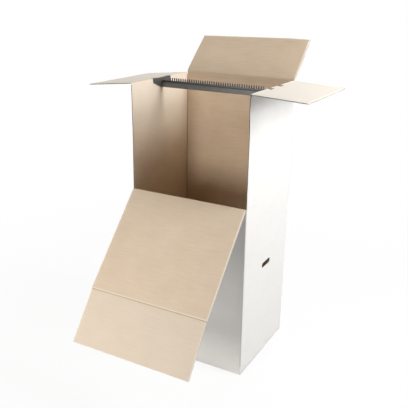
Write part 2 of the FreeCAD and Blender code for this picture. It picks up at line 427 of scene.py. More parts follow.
def rounded_slab(outline: Array, low: float, high: float, edge: float, steps: int = 3) -> Array:
    """Rings of a slab whose rims are rounded: the outline is drawn in along a quarter circle at each end.

    Args:
        outline: corners that run anticlockwise, as (corner, 2).
        low, high: where the slab starts and ends along its depth.
        edge: radius of the rims.
        steps: pieces of each quarter circle.

    Returns:
        The rings, as (ring, corner, 3), with the depth last.
    """
    angle = np.linspace(0, QUARTER, steps + 1)
    way = edge * (1 - np.sin(angle))
    rise = edge * (1 - np.cos(angle))
    flat = inset(outline, np.concatenate([way, way[::-1]]))
    depth = np.concatenate([low + rise, high - rise[::-1]])
    level = np.broadcast_to(depth[:, None, None], (*flat.shape[:2], 1))
    return np.concatenate([flat, level], axis=2)


def framed(half_width: float, low: float, high: float) -> Array:
    """Corners of an upright rectangle about the middle line, anticlockwise."""
    return np.array([(-half_width, low), (half_width, low), (half_width, high), (-half_width, high)])


# Materials


class Graph:
    """Short ways to add and join the nodes of one node tree."""

    def __init__(self, tree: NodeTree) -> None:
        """Takes the tree that is to be built, and empties it."""
        self.tree = tree
        tree.nodes.clear()

    def add(self, kind: str, values: dict[str | int, Feed] | None = None, **settings: object) -> Node:
        """Adds a node.

        Args:
            kind: Blender's name of the node.
            values: for each input, a number, a colour or the socket that feeds it.
            settings: properties of the node.

        Returns:
            The new node.
        """
        node = self.tree.nodes.new(kind)
        for key, value in settings.items():
            setattr(node, key, value)
        for key, value in (values or {}).items():
            if isinstance(value, Socket):
                self.tree.links.new(value, node.inputs[key])
            else:
                node.inputs[key].default_value = value
        return node

    def calc(self, kind: str, *values: Feed) -> Socket:
        """One step of arithmetic, such as MULTIPLY, on sockets or numbers."""
        return self.add("ShaderNodeMath", dict(enumerate(values)), operation=kind).outputs[0]

    def ramp(self, value: Socket, low: float, high: float, to: Pair = (0.0, 1.0)) -> Socket:
        """Maps a value from one span to another, smoothly and without overshoot."""
        values = {"Value": value, "From Min": low, "From Max": high, "To Min": to[0], "To Max": to[1]}
        return self.add("ShaderNodeMapRange", values, interpolation_type="SMOOTHSTEP").outputs["Result"]

    def mix(self, share: Feed, first: Feed, second: Colour) -> Socket:
        """Blends the first colour into the second by a share."""
        values = {0: share, 6: first, 7: (*second, 1.0)}
        return self.add("ShaderNodeMix", values, data_type="RGBA").outputs[2]

    def noise(self, vector: Socket, scale: float, detail: float = 2.0, rough: float = 0.5) -> Socket:
        """A cloudy value from 0 to 1."""
        values = {"Vector": vector, "Scale": scale, "Detail": detail, "Roughness": rough}
        return self.add("ShaderNodeTexNoise", values).outputs[0]

    def streaks(self, vector: Socket, scale: Pair, detail: float, rough: float = 0.5) -> Socket:
        """A cloudy value that is drawn out, with a scale along s and one along t."""
        pulled = self.add("ShaderNodeMapping", {"Vector": vector, "Scale": (*scale, 1.0)}).outputs[0]
        return self.noise(pulled, 1.0, detail, rough)

    def bumped(self, height: Socket, strength: float) -> Socket:
        """Normals over a height in metres."""
        values = {"Strength": strength, "Distance": 1.0, "Height": height}
        return self.add("ShaderNodeBump", values).outputs[0]

    def close(self, shader: str, values: dict[str | int, Feed], output: str = "Material") -> None:
        """Adds the last shader and joins it to the output."""
        last = self.add("ShaderNode" + shader, values)
        self.add("ShaderNodeOutput" + output, {"Surface": last.outputs[0]})


def new_material(name: str) -> tuple[Material, Graph]:
    """Makes a material with an empty node tree.

    Args:
        name: of the material.

    Returns:
        The material and the graph of its tree.
    """
    material = bpy.data.materials.new(name)
    material.use_nodes = True
    return material, Graph(material.node_tree)


class Effects:
    """Shader groups that the finishes share, each built once."""

    def __init__(self) -> None:
        """Builds every group."""
        self._add_fibre()
        self._add_flutes()
        self._add_scuffs()
        self._add_grain()

    @staticmethod
    def _start(name: str, takes: list[str], gives: list[str]) -> tuple[Graph, Node, Node]:
        """Makes an empty group.

        Args:
            name: of the group.
            takes, gives: names of its inputs and outputs. Vector is a vector, and the rest are values.

        Returns:
            The graph, its input node and its output node.
        """
        tree = bpy.data.node_groups.new(name, "ShaderNodeTree")
        for way, labels in (("INPUT", takes), ("OUTPUT", gives)):
            for label in labels:
                kind = "NodeSocketVector" if label == "Vector" else "NodeSocketFloat"
                tree.interface.new_socket(label, in_out=way, socket_type=kind)
        graph = Graph(tree)
        return graph, graph.add("NodeGroupInput"), graph.add("NodeGroupOutput")

    @staticmethod
    def _end(graph: Graph, give: Node, *sockets: Socket) -> NodeTree:
        """Joins sockets to a group's outputs.

        Args:
            graph: of the group.
            give: its output node.
            sockets: one for each output, in order.

        Returns:
            The group.
        """
        for socket, output in zip(sockets, give.inputs):
            graph.tree.links.new(socket, output)
        return graph.tree

    def _add_fibre(self) -> None:
        """Paper seen close: cloudy tone, streaks along the paper's run, dark and light flecks, and relief."""
        g, take, give = self._start("paper_fibre", ["Vector"], ["Cloud", "Streak", "Dark", "Light", "Relief"])
        v = take.outputs["Vector"]
        cloud = g.noise(v, 9.0, 4.0, 0.55)
        streak = g.streaks(v, (9.0, 170.0), 3.0, 0.6)
        fine = g.streaks(v, (420.0, 1500.0), 2.0, 0.6)
        dark = g.ramp(g.streaks(v, (260.0, 620.0), 1.0), 0.66, 0.76)
        light = g.ramp(g.streaks(v, (620.0, 240.0), 1.0), 0.68, 0.78)
        relief = g.calc("MULTIPLY_ADD", streak, 0.35, fine)
        self.fibre = self._end(g, give, cloud, streak, dark, light, relief)

    def _add_flutes(self) -> None:
        """The flutes' washboard under the liner, for relief and for painted shade bands: a cosine along s,
        fading in and out over the sheet.
        """
        g, take, give = self._start("flute_print", ["Vector", "Pitch"], ["Wave"])
        parts = g.add("ShaderNodeSeparateXYZ", {0: take.outputs["Vector"]})
        turns = g.calc("DIVIDE", parts.outputs["X"], take.outputs["Pitch"])
        wave = g.calc("COSINE", g.calc("MULTIPLY", turns, 2 * math.pi))
        fade = g.ramp(g.noise(take.outputs["Vector"], 5.0), 0.3, 0.7, (0.35, 1.0))
        self.flutes = self._end(g, give, g.calc("MULTIPLY", wave, fade))

    def _add_scuffs(self) -> None:
        """Wear along edges and folds: strongest at the rim, broken up by cloudy noise."""
        g, take, give = self._start("edge_scuffs", ["Vector", "Rim", "Width"], ["Mask"])
        way = g.calc("MAXIMUM", take.outputs["Rim"], 0.0)
        near = g.calc("SUBTRACT", 1.0, g.calc("DIVIDE", way, take.outputs["Width"]))
        patch = g.noise(take.outputs["Vector"], 60.0, 4.0, 0.65)
        mask = g.calc("MULTIPLY", g.calc("MAXIMUM", near, 0.0), g.ramp(patch, 0.42, 0.68))
        self.scuffs = self._end(g, give, mask)

    def _add_grain(self) -> None:
        """Moulded plastic: a fine pitted grain and slow swirls of tone."""
        g, take, give = self._start("moulded_grain", ["Vector"], ["Grain", "Swirl"])
        grain = g.noise(take.outputs["Vector"], 1600.0, 2.0, 0.6)
        swirl = g.noise(take.outputs["Vector"], 22.0, 4.0, 0.6)
        self.grain = self._end(g, give, grain, swirl)


@dataclass(frozen=True)
class PaperFinish:
    """A paper liner or strip.

    Attributes:
        pale, pressed, scuff: colours of painted light, of painted shade in folds and behind a ridge, and of
            wear.
        flecks, wear, clouds, streaks: strengths of fibres, scuffs, clouds and streaks.
        flute_tone, flute_depth: how far the flutes' washboard shows as painted shade bands and as relief.
        roughness, swing: the shader's average, and how far it varies.
        scuff_width: way from an edge over which it is worn.
        relief, bump: height of the fibres, and strength of the whole relief.
    """

    name: str
    tone: Colour
    deep: Colour
    dark_fleck: Colour
    light_fleck: Colour
    pale: Colour
    pressed: Colour
    scuff: Colour
    flecks: float = 0.3
    wear: float = 0.5
    flute_tone: float = 0.05
    flute_depth: float = 0.00006
    roughness: float = 0.8
    gloss: float = 0.25
    clouds: float = 0.35
    streaks: float = 0.45
    scuff_width: float = 0.012
    relief: float = 0.00001
    swing: float = 0.08
    bump: float = 0.6

    def made(self, effects: Effects, pitch: float, on_sheet: bool = True) -> Material:
        """Builds the material.

        Args:
            effects: the shared groups.
            pitch: of the flutes.
            on_sheet: whether the pattern follows the flat sheet, and else the object's own axes.

        Returns:
            The material.
        """
        material, g = new_material(self.name)
        if on_sheet:
            where = g.add("ShaderNodeUVMap", uv_map=SHEET_MAP).outputs[0]
        else:
            where = g.add("ShaderNodeTexCoord").outputs["Object"]
        rim = g.add("ShaderNodeAttribute", attribute_name=RIM_VALUE).outputs["Fac"]
        fibre = g.add("ShaderNodeGroup", {"Vector": where}, node_tree=effects.fibre)
        flutes = g.add("ShaderNodeGroup", {"Vector": where, "Pitch": pitch}, node_tree=effects.flutes)
        rubbing = {"Vector": where, "Rim": rim, "Width": self.scuff_width}
        scuffs = g.add("ShaderNodeGroup", rubbing, node_tree=effects.scuffs)
        cloudy = g.ramp(fibre.outputs["Cloud"], 0.3, 0.75, (0.0, self.clouds))
        streaky = g.ramp(fibre.outputs["Streak"], 0.3, 0.75, (0.0, self.streaks))
        # painted shade bands along the flutes' washboard
        washboard_shade = g.calc("MULTIPLY_ADD", flutes.outputs["Wave"], self.flute_tone, self.flute_tone)
        deepness = g.calc("ADD", g.calc("ADD", cloudy, streaky), washboard_shade)
        colour = g.mix(deepness, (*self.tone, 1.0), self.deep)
        # painted light: the pale attribute draws the kraft in its paler colour
        faded = g.add("ShaderNodeAttribute", attribute_name=PALE_VALUE).outputs["Fac"]
        colour = g.mix(faded, colour, self.pale)
        for mask, strength, over in (
            (fibre.outputs["Dark"], self.flecks, self.dark_fleck),
            (fibre.outputs["Light"], self.flecks, self.light_fleck),
            (scuffs.outputs["Mask"], self.wear, self.scuff),
        ):
            colour = g.mix(g.calc("MULTIPLY", mask, strength), colour, over)
        # painted shade: where the rim falls below 0, in corner folds and behind a crease ridge, the paper
        # turns to its pressed colour
        colour = g.mix(g.ramp(rim, -SHADE_RIM, 0.0, (1.0, 0.0)), colour, self.pressed)
        spread = (self.roughness - self.swing, self.roughness + self.swing)
        rough = g.ramp(fibre.outputs["Relief"], 0.3, 1.1, spread)
        lift = g.calc("MULTIPLY", fibre.outputs["Relief"], self.relief)
        height = g.calc("MULTIPLY_ADD", flutes.outputs["Wave"], self.flute_depth, lift)
        values = {"Base Color": colour, "Roughness": rough, "Normal": g.bumped(height, self.bump)}
        g.close("BsdfPrincipled", {**values, "Specular IOR Level": self.gloss})
        return material


@dataclass(frozen=True)
class PlasticFinish:
    """Moulded plastic with a satin grain.

    Attributes:
        pale: the paler tone of swirls.
        roughness: of the shader, at its least and most.
        pits, bump: depth of the grain, and strength of the relief.
    """

    name: str
    tone: Colour
    pale: Colour
    roughness: Pair = (0.36, 0.5)
    pits: float = 0.00004
    bump: float = 0.5

    def made(self, effects: Effects) -> Material:
        """Builds the material.

        Args:
            effects: the shared groups.

        Returns:
            The material.
        """
        material, g = new_material(self.name)
        where = g.add("ShaderNodeTexCoord").outputs["Object"]
        group = g.add("ShaderNodeGroup", {"Vector": where}, node_tree=effects.grain)
        share = g.ramp(group.outputs["Swirl"], 0.35, 0.7)
        colour = g.mix(share, (*self.tone, 1.0), self.pale)
        rough = g.ramp(group.outputs["Swirl"], 0.3, 0.7, self.roughness)
        height = g.calc("MULTIPLY", group.outputs["Grain"], self.pits)
        values = {"Base Color": colour, "Roughness": rough, "Normal": g.bumped(height, self.bump)}
        g.close("BsdfPrincipled", values)
        return material


# Its pressed colour is painted shade on the white side of the corner folds.
WHITE_LINER = PaperFinish(
    "white_liner", (0.775, 0.765, 0.745), (0.72, 0.71, 0.685), (0.56, 0.52, 0.46), (0.83, 0.82, 0.81),
    (0.775, 0.765, 0.745), (0.56, 0.55, 0.53), (0.67, 0.63, 0.58), flecks=0.12, wear=0.35, flute_tone=0.03,
    flute_depth=0.00004, roughness=0.6, gloss=0.3,
)
# Its pale colour is painted light: sheen on the side lids and highlights along edges and the crease ridge.
# Its pressed colour is painted shade in corner folds and behind the crease ridge.
KRAFT_LINER = PaperFinish(
    "kraft_liner", (0.79, 0.635, 0.475), (0.67, 0.52, 0.365), (0.42, 0.30, 0.19), (0.84, 0.73, 0.59),
    (0.905, 0.84, 0.745), (0.30, 0.20, 0.12), (0.82, 0.70, 0.55), wear=0.4,
)
# A raw cut edge, drawn darker than its paper: painted shade of the open flutes.
SHADED_RAW_EDGE = PaperFinish(
    "raw_edge", (0.27, 0.195, 0.125), (0.20, 0.14, 0.085), (0.16, 0.10, 0.06), (0.36, 0.27, 0.18),
    (0.27, 0.195, 0.125), (0.20, 0.14, 0.085), (0.33, 0.25, 0.165), flecks=0.4, wear=0.2, flute_tone=0.0,
    flute_depth=0.0, roughness=0.85,
)
FLUTED_PAPER = PaperFinish(
    "fluted_paper", (0.60, 0.46, 0.32), (0.48, 0.35, 0.23), (0.32, 0.22, 0.13), (0.70, 0.57, 0.42),
    (0.60, 0.46, 0.32), (0.40, 0.29, 0.18), (0.66, 0.53, 0.38), flecks=0.4, wear=0.2, flute_tone=0.0,
    flute_depth=0.0, roughness=0.85,
)
PAPER_TAPE = PaperFinish(
    "paper_tape", (0.58, 0.41, 0.25), (0.48, 0.32, 0.18), (0.30, 0.19, 0.11), (0.66, 0.50, 0.33),
    (0.58, 0.41, 0.25), (0.40, 0.27, 0.15), (0.62, 0.46, 0.3), flecks=0.35, wear=0.2, flute_tone=0.02,
    flute_depth=0.00002, roughness=0.55,
)
RAIL_PLASTIC = PlasticFinish("rail_plastic", (0.076, 0.075, 0.071), (0.1, 0.098, 0.092))
COMB_PLASTIC = PlasticFinish("comb_plastic", (0.034, 0.036, 0.036), (0.05, 0.052, 0.052))


# Pieces


class Dresser:
    """Turns skins into pieces of the model and gives them their finish."""

    board_sharp = 35.0
    fold_sharp = 60.0
    rail_sharp = 40.0

    def __init__(self, pitch: float) -> None:
        """Builds the materials.

        Args:
            pitch: of the flutes.
        """
        effects = Effects()
        self.board = [x.made(effects, pitch) for x in (WHITE_LINER, KRAFT_LINER)]
        self.board += [x.made(effects, pitch, on_sheet=False) for x in (SHADED_RAW_EDGE, FLUTED_PAPER)]
        self.tape = PAPER_TAPE.made(effects, pitch, on_sheet=False)
        self.plastic = RAIL_PLASTIC.made(effects)
        self.comb = COMB_PLASTIC.made(effects)
        self.count = 0

    def mesh(self, name: str, skin: Skin, materials: list[Material], sharp: float) -> Piece:
        """Makes a mesh object of a skin.

        Args:
            name, skin: of the piece.
            materials: one for each slot.
            sharp: angle in degrees over which an edge stays sharp.

        Returns:
            The object, with its place in its mesh.
        """
        mesh = bpy.data.meshes.new(name)
        mesh.from_pydata(skin.points.tolist(), [], skin.quads.tolist() + skin.caps)
        for material in materials:
            mesh.materials.append(material)
        slots = np.concatenate([skin.slots, np.zeros(len(skin.caps), int)]).astype(np.int32)
        mesh.polygons.foreach_set("material_index", slots)
        mesh.polygons.foreach_set("use_smooth", np.ones(len(slots), bool))
        corners = np.zeros(len(mesh.loops), np.int32)
        mesh.loops.foreach_get("vertex_index", corners)
        shift = np.array(SHEET_SHIFT) * self.count
        flat = mesh.uv_layers.new(name=SHEET_MAP)
        flat.uv.foreach_set("vector", (skin.sheet[corners] + shift).astype(np.float32).ravel())
        for label, values in ((RIM_VALUE, skin.rim), (PALE_VALUE, skin.pale)):
            attribute = mesh.attributes.new(label, "FLOAT", "POINT")
            attribute.data.foreach_set("value", values.astype(np.float32))
        mesh.validate()
        mesh.set_sharp_from_angle(angle=math.radians(sharp))
        mesh.update()
        piece = bpy.data.objects.new(name, mesh)
        bpy.context.scene.collection.objects.link(piece)
        self.count += 1
        log.info("%s: %d corners, %d faces", name, len(mesh.vertices), len(mesh.polygons))
        return piece

    def board_piece(self, name: str, skin: Skin, nodes: tuple[str, ...]) -> Piece:
        """Makes a piece of board.

        Args:
            name, skin: of the piece.
            nodes: those that it stands for.

        Returns:
            The object.
        """
        piece = self.mesh(name, skin, self.board, self.board_sharp)
        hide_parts(*nodes)
        return piece

    def fold_piece(self, name: str, skin: Skin, nodes: tuple[str, ...] = ()) -> Piece:
        """Makes a piece of folded board.

        Args:
            name, skin: of the piece.
            nodes: those that it stands for.

        Returns:
            The object.
        """
        piece = self.mesh(name, skin, self.board, self.fold_sharp)
        if nodes:
            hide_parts(*nodes)
        return piece

    def rail_piece(self, name: str, skin: Skin, node: str, plastic: Material) -> None:
        """Makes a piece of the rail, which rides on it.

        Args:
            name, skin, plastic: of the piece.
            node: the one that it stands for.
        """
        piece = self.mesh(name, skin, [plastic], self.rail_sharp)
        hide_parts(node)
        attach(piece, "hanger_rail")


@dataclass(frozen=True)
class Hinge:
    """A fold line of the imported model.

    Attributes:
        at, axis: a point on the line, and the direction about which a positive angle opens.
        closing: degrees from the box as it stands to closed.
    """

    at: Array
    axis: Array
    closing: float

    @classmethod
    def of_joint(cls, joint: dict) -> "Hinge":
        """The fold line of one of the frame's joints."""
        return cls(np.array(joint["pos_m"], float), np.array(joint["axis"], float), -joint["range_deg"][0])

    @property
    def folded(self) -> float:
        """Degrees that a lid on this line is folded out from upright."""
        return self.closing - 90

    def turn(self, points: Array, degrees: Array | float) -> Array:
        """Turns points about the line."""
        return turned(points, self.at, self.axis, degrees)

    def swung(self, way: Array, degrees: float) -> Array:
        """Turns a direction about the line."""
        return turned(way[None], np.zeros(3), self.axis, degrees)[0]


HINGES: dict[str, Hinge] = {x["name"]: Hinge.of_joint(x) for x in frame["joints"] if x["type"] == "hinge"}


@dataclass(frozen=True)
class Stock:
    """The corrugated board.

    Attributes:
        groove, recess: how deep the flutes are open from a cut edge, and how far their paper ends behind it.
        inner_radius: of a fold, on the kraft side.
        crease_zone: how far from a fold the panel takes up its lean.
        crush_width: how far from a cut edge the die has pressed the kraft face down.
        score, score_width: depth of a score line in the kraft face, and how far from the line it reaches.
    """

    thickness: float = 0.004
    liner: float = 0.00045
    fluting: float = 0.0003
    pitch: float = 0.0075
    groove: float = 0.012
    recess: float = 0.0003
    inner_radius: float = 0.002
    crease_gap: float = 0.00015
    crease_zone: float = 0.02
    crush_width: float = 0.008
    score: float = 0.0016
    score_width: float = 0.006

    @property
    def cut_steps(self) -> Array:
        """Ways from a cut edge that need a grid line."""
        return np.append(np.linspace(0.0, self.crush_width, 5), self.groove)

    @property
    def score_steps(self) -> Array:
        """Ways from a score line that need a grid line."""
        return np.append(np.linspace(0.0, self.score_width, 5), self.crease_zone)

    @property
    def layers(self) -> Array:
        """Levels of the two liners and the space between them."""
        return np.array([0.0, self.liner, self.thickness - self.liner, self.thickness])

    @property
    def sheet(self) -> Array:
        """Levels of the two faces of the fluted paper, from its middle."""
        return np.array([-self.fluting, self.fluting]) / 2

    @property
    def bend(self) -> float:
        """Length of the board's middle round a quarter fold."""
        return (self.inner_radius + self.thickness / 2) * math.pi / 2

    def scored(self, t: Array) -> Array:
        """Depth of a score line: the square of what is left of its width."""
        return self.score * np.clip(1 - abs(t) / self.score_width, 0, 1) ** 2

    def wave(self, s: Array) -> Array:
        """Level of the fluted paper: a cosine of s that touches both liners."""
        swing = (self.thickness - 2 * self.liner - self.fluting) / 2
        return self.thickness / 2 + swing * np.cos(2 * math.pi * s / self.pitch)


@dataclass(frozen=True)
class BoxSizes:
    """Main sizes of the box.

    Attributes:
        side_top, main_top, door_level: heights of the fold lines of the side lids, main lids and door.
        main_half: half width of the door, the main lids and the outer bottom flaps.
        edge: how far the side walls' free front edges stand from the middle.
        lid_lean, front_lid_lean: lean of the lids' and of the front lid's fold ends, in degrees.
        notches: the prongs' notches along Y, as (near, far).
        wall_notch, lid_notch: depth of the notches in the walls and in the lids.
    """

    width: float = 0.6
    depth: float = 0.51
    side_top: float = 1.35
    main_top: float = 1.3543
    door_level: float = 0.845
    lid: float = 0.2505
    main_half: float = 0.299
    side_half: float = 0.248
    edge: float = 0.2507
    lid_lean: float = 67.5
    front_lid_lean: float = 21.0
    notches: Pair = (0.0347, 0.0753)
    wall_notch: float = 0.0056
    lid_notch: float = 0.01758
    stock: Stock = Stock()

    @property
    def inner_x(self) -> float:
        """Way from the middle to the side walls' kraft faces."""
        return self.width / 2 - self.stock.thickness

    @property
    def inner_y(self) -> float:
        """Way from the middle to the front and back walls' kraft faces."""
        return self.depth / 2 - self.stock.thickness

    @property
    def flat_x(self) -> float:
        """Way from the middle to where the front and back walls start to bend."""
        return self.inner_x - self.stock.inner_radius

    @property
    def flat_y(self) -> float:
        """Way from the middle to where the side walls start to bend."""
        return self.inner_y - self.stock.inner_radius

    def notched(self, s: Array) -> Array:
        """Whether each s lies in a notch for a prong."""
        return (abs(s) > self.notches[0]) & (abs(s) < self.notches[1])


SIZES = BoxSizes()


@dataclass
class BoardPiece:
    """A piece of board, from its fold line to its far edge.

    Attributes:
        step: widest gap between grid lines.
        wave_lines: grid lines through each flute.
        pale: how far its kraft face is drawn in the paler colour of painted light.
        side_crush, end_crush: how far the die has pressed edges along and across the flutes down.
        folds: whether its first and last line along t are folds.
        pressed: whether its side edges are pressed shut.
    """

    sizes: BoxSizes = SIZES
    step: float = 0.04
    wave_lines: int = 10
    pale: float = 0.0
    side_crush: float = 0.0018
    end_crush: float = 0.0018
    folds: tuple[bool, bool] = (True, False)
    pressed: bool = False

    def s_marks(self) -> list[float]:
        """Places along s that need a grid line."""
        raise NotImplementedError

    def t_marks(self) -> list[float]:
        """Places along t that need a grid line."""
        raise NotImplementedError

    def place(self, s: Array, t: Array, u: Array) -> Array:
        """Place in the box, as it stands, of each (s, t, u)."""
        raise NotImplementedError

    def there(self, s: Array, t: Array) -> Array:
        """Whether the piece has board at each (s, t)."""
        return np.ones(s.shape, bool)

    def to_side(self, s: Array, t: Array) -> Array:
        """Way from each (s, t) to the nearest edge cut along the flutes."""
        return np.full(s.shape, FAR)

    def to_end(self, s: Array, t: Array) -> Array:
        """Way from each (s, t) to the nearest edge cut across the flutes."""
        return np.full(s.shape, FAR)

    def to_score(self, s: Array, t: Array) -> Array:
        """Way from each (s, t) to the nearest score line in the kraft face."""
        return np.full(s.shape, FAR)

    def to_cut(self, s: Array, t: Array) -> Array:
        """Way from each (s, t) to the nearest cut edge."""
        return np.minimum(self.to_side(s, t), self.to_end(s, t))

    def to_rim(self, s: Array, t: Array) -> Array:
        """Way from each (s, t) to the nearest edge or fold."""
        return np.minimum(self.to_cut(s, t), t)

    def fade(self, s: Array, t: Array) -> Array:
        """How far the kraft face is drawn in its paler colour of painted light at each (s, t)."""
        return np.full(s.shape, self.pale)

    def patch(self, s: Array, t: Array) -> Array:
        """Whether another skin takes over at each (s, t)."""
        return np.zeros(s.shape, bool)

    def crushed(self, s: Array, t: Array, u: Array) -> Array:
        """Levels in the board where the die has pressed the kraft face down along cut edges and score lines.

        The press falls off evenly from an edge, as a square from a score line, and fades through the board.

        Args:
            s, t, u: place on the sheet.

        Returns:
            The moved u.
        """
        stock = self.sizes.stock
        side = self.side_crush * np.clip(1 - self.to_side(s, t) / stock.crush_width, 0, 1)
        end = self.end_crush * np.clip(1 - self.to_end(s, t) / stock.crush_width, 0, 1)
        press = np.maximum(np.maximum(side, end), stock.scored(self.to_score(s, t)))
        return u + press * (1 - u / stock.thickness)

    def leaned(self, t: Array, u: Array, lean: float) -> Array:
        """Draws a panel's start back by a gap and its lean's tangent times u, fading over the crease zone."""
        start = self.sizes.stock.crease_gap + u * math.tan(math.radians(lean))
        return t + start * np.clip(1 - t / self.sizes.stock.crease_zone, 0, 1)

    def waved(self, s: Array, t: Array, u: Array) -> Array:
        """Place of the fluted paper, whose level is a cosine of s."""
        return self.place(s, t, self.sizes.stock.wave(s) + u)

    def liners(self) -> Skin:
        """Both liners with the board between them, hollowed along the cut edges.

        Returns:
            Their skin.
        """
        stock = self.sizes.stock
        s, t = ruled(self.s_marks(), self.step), ruled(self.t_marks(), self.step)
        cells = np.meshgrid((s[:-1] + s[1:]) / 2, (t[:-1] + t[1:]) / 2, indexing="ij")
        here = self.there(*cells)
        solid = here & (self.to_cut(*cells) > stock.groove)
        filled = np.stack([here, solid, here], axis=2)
        goes_on = np.pad(self.patch(*cells), 1)
        lines = (s, t, stock.layers)
        return block_skin(
            lines, filled, self.place, rim=self.to_rim, pale=self.fade, goes_on=goes_on, folds=self.folds,
            white_sides=self.pressed,
        )

    def fluting(self) -> list[Skin]:
        """The fluted paper in the hollow along the cut ends: a thin sheet whose level is a cosine of s.

        Returns:
            Its skin, or nothing.
        """
        stock = self.sizes.stock
        s_ends = self.s_marks()
        s = ruled([min(s_ends) + stock.recess, max(s_ends) - stock.recess], stock.pitch / self.wave_lines)
        t = ruled(self.t_marks(), self.step)
        t[-1] -= stock.recess
        cells = np.meshgrid((s[:-1] + s[1:]) / 2, (t[:-1] + t[1:]) / 2, indexing="ij")
        here = self.there(*cells) & (self.to_end(*cells) < stock.groove)
        if not here.any():
            return []
        return [block_skin((s, t, stock.sheet), here[:, :, None], self.waved).painted(Paper.FLUTE)]

    def more(self) -> list[Skin]:
        """Further skins of the piece."""
        return []

    def skin(self) -> Skin:
        """The whole piece."""
        body = welded(joined([self.liners(), *self.more()]))
        return joined([body, *self.fluting()])


@dataclass
class Wall(BoardPiece):
    """A wall from its top down to its foot, then round a fold and into its bottom flap."""

    top: float = SIZES.side_top
    foot: float = 0.01
    flap: float = 0.2485
    bend_lines: int = 7

    @property
    def flat(self) -> float:
        """Length of the upright part."""
        return self.top - self.foot

    @property
    def past(self) -> float:
        """Way from the upper end to the end of the bottom fold."""
        return self.flat + self.sizes.stock.bend

    @property
    def bend_marks(self) -> Array:
        """Lines through the bottom fold."""
        return np.linspace(self.flat, self.past, self.bend_lines)

    def bent(self, t: Array, u: Array) -> tuple[Array, Array, Array, Array]:
        """Follows the wall down, round a quarter circle and along the bottom.

        Args:
            t, u: place on the sheet.

        Returns:
            The ways past the fold's start, the angles round it, the ways along the flap, and the heights.
        """
        stock = self.sizes.stock
        below = t - self.flat
        turn = np.clip(below / stock.bend, 0, 1) * math.pi / 2
        run = np.maximum(below - stock.bend, 0)
        level = self.foot + np.maximum(-below, 0) - (stock.inner_radius + u) * np.sin(turn)
        return below, turn, run, level


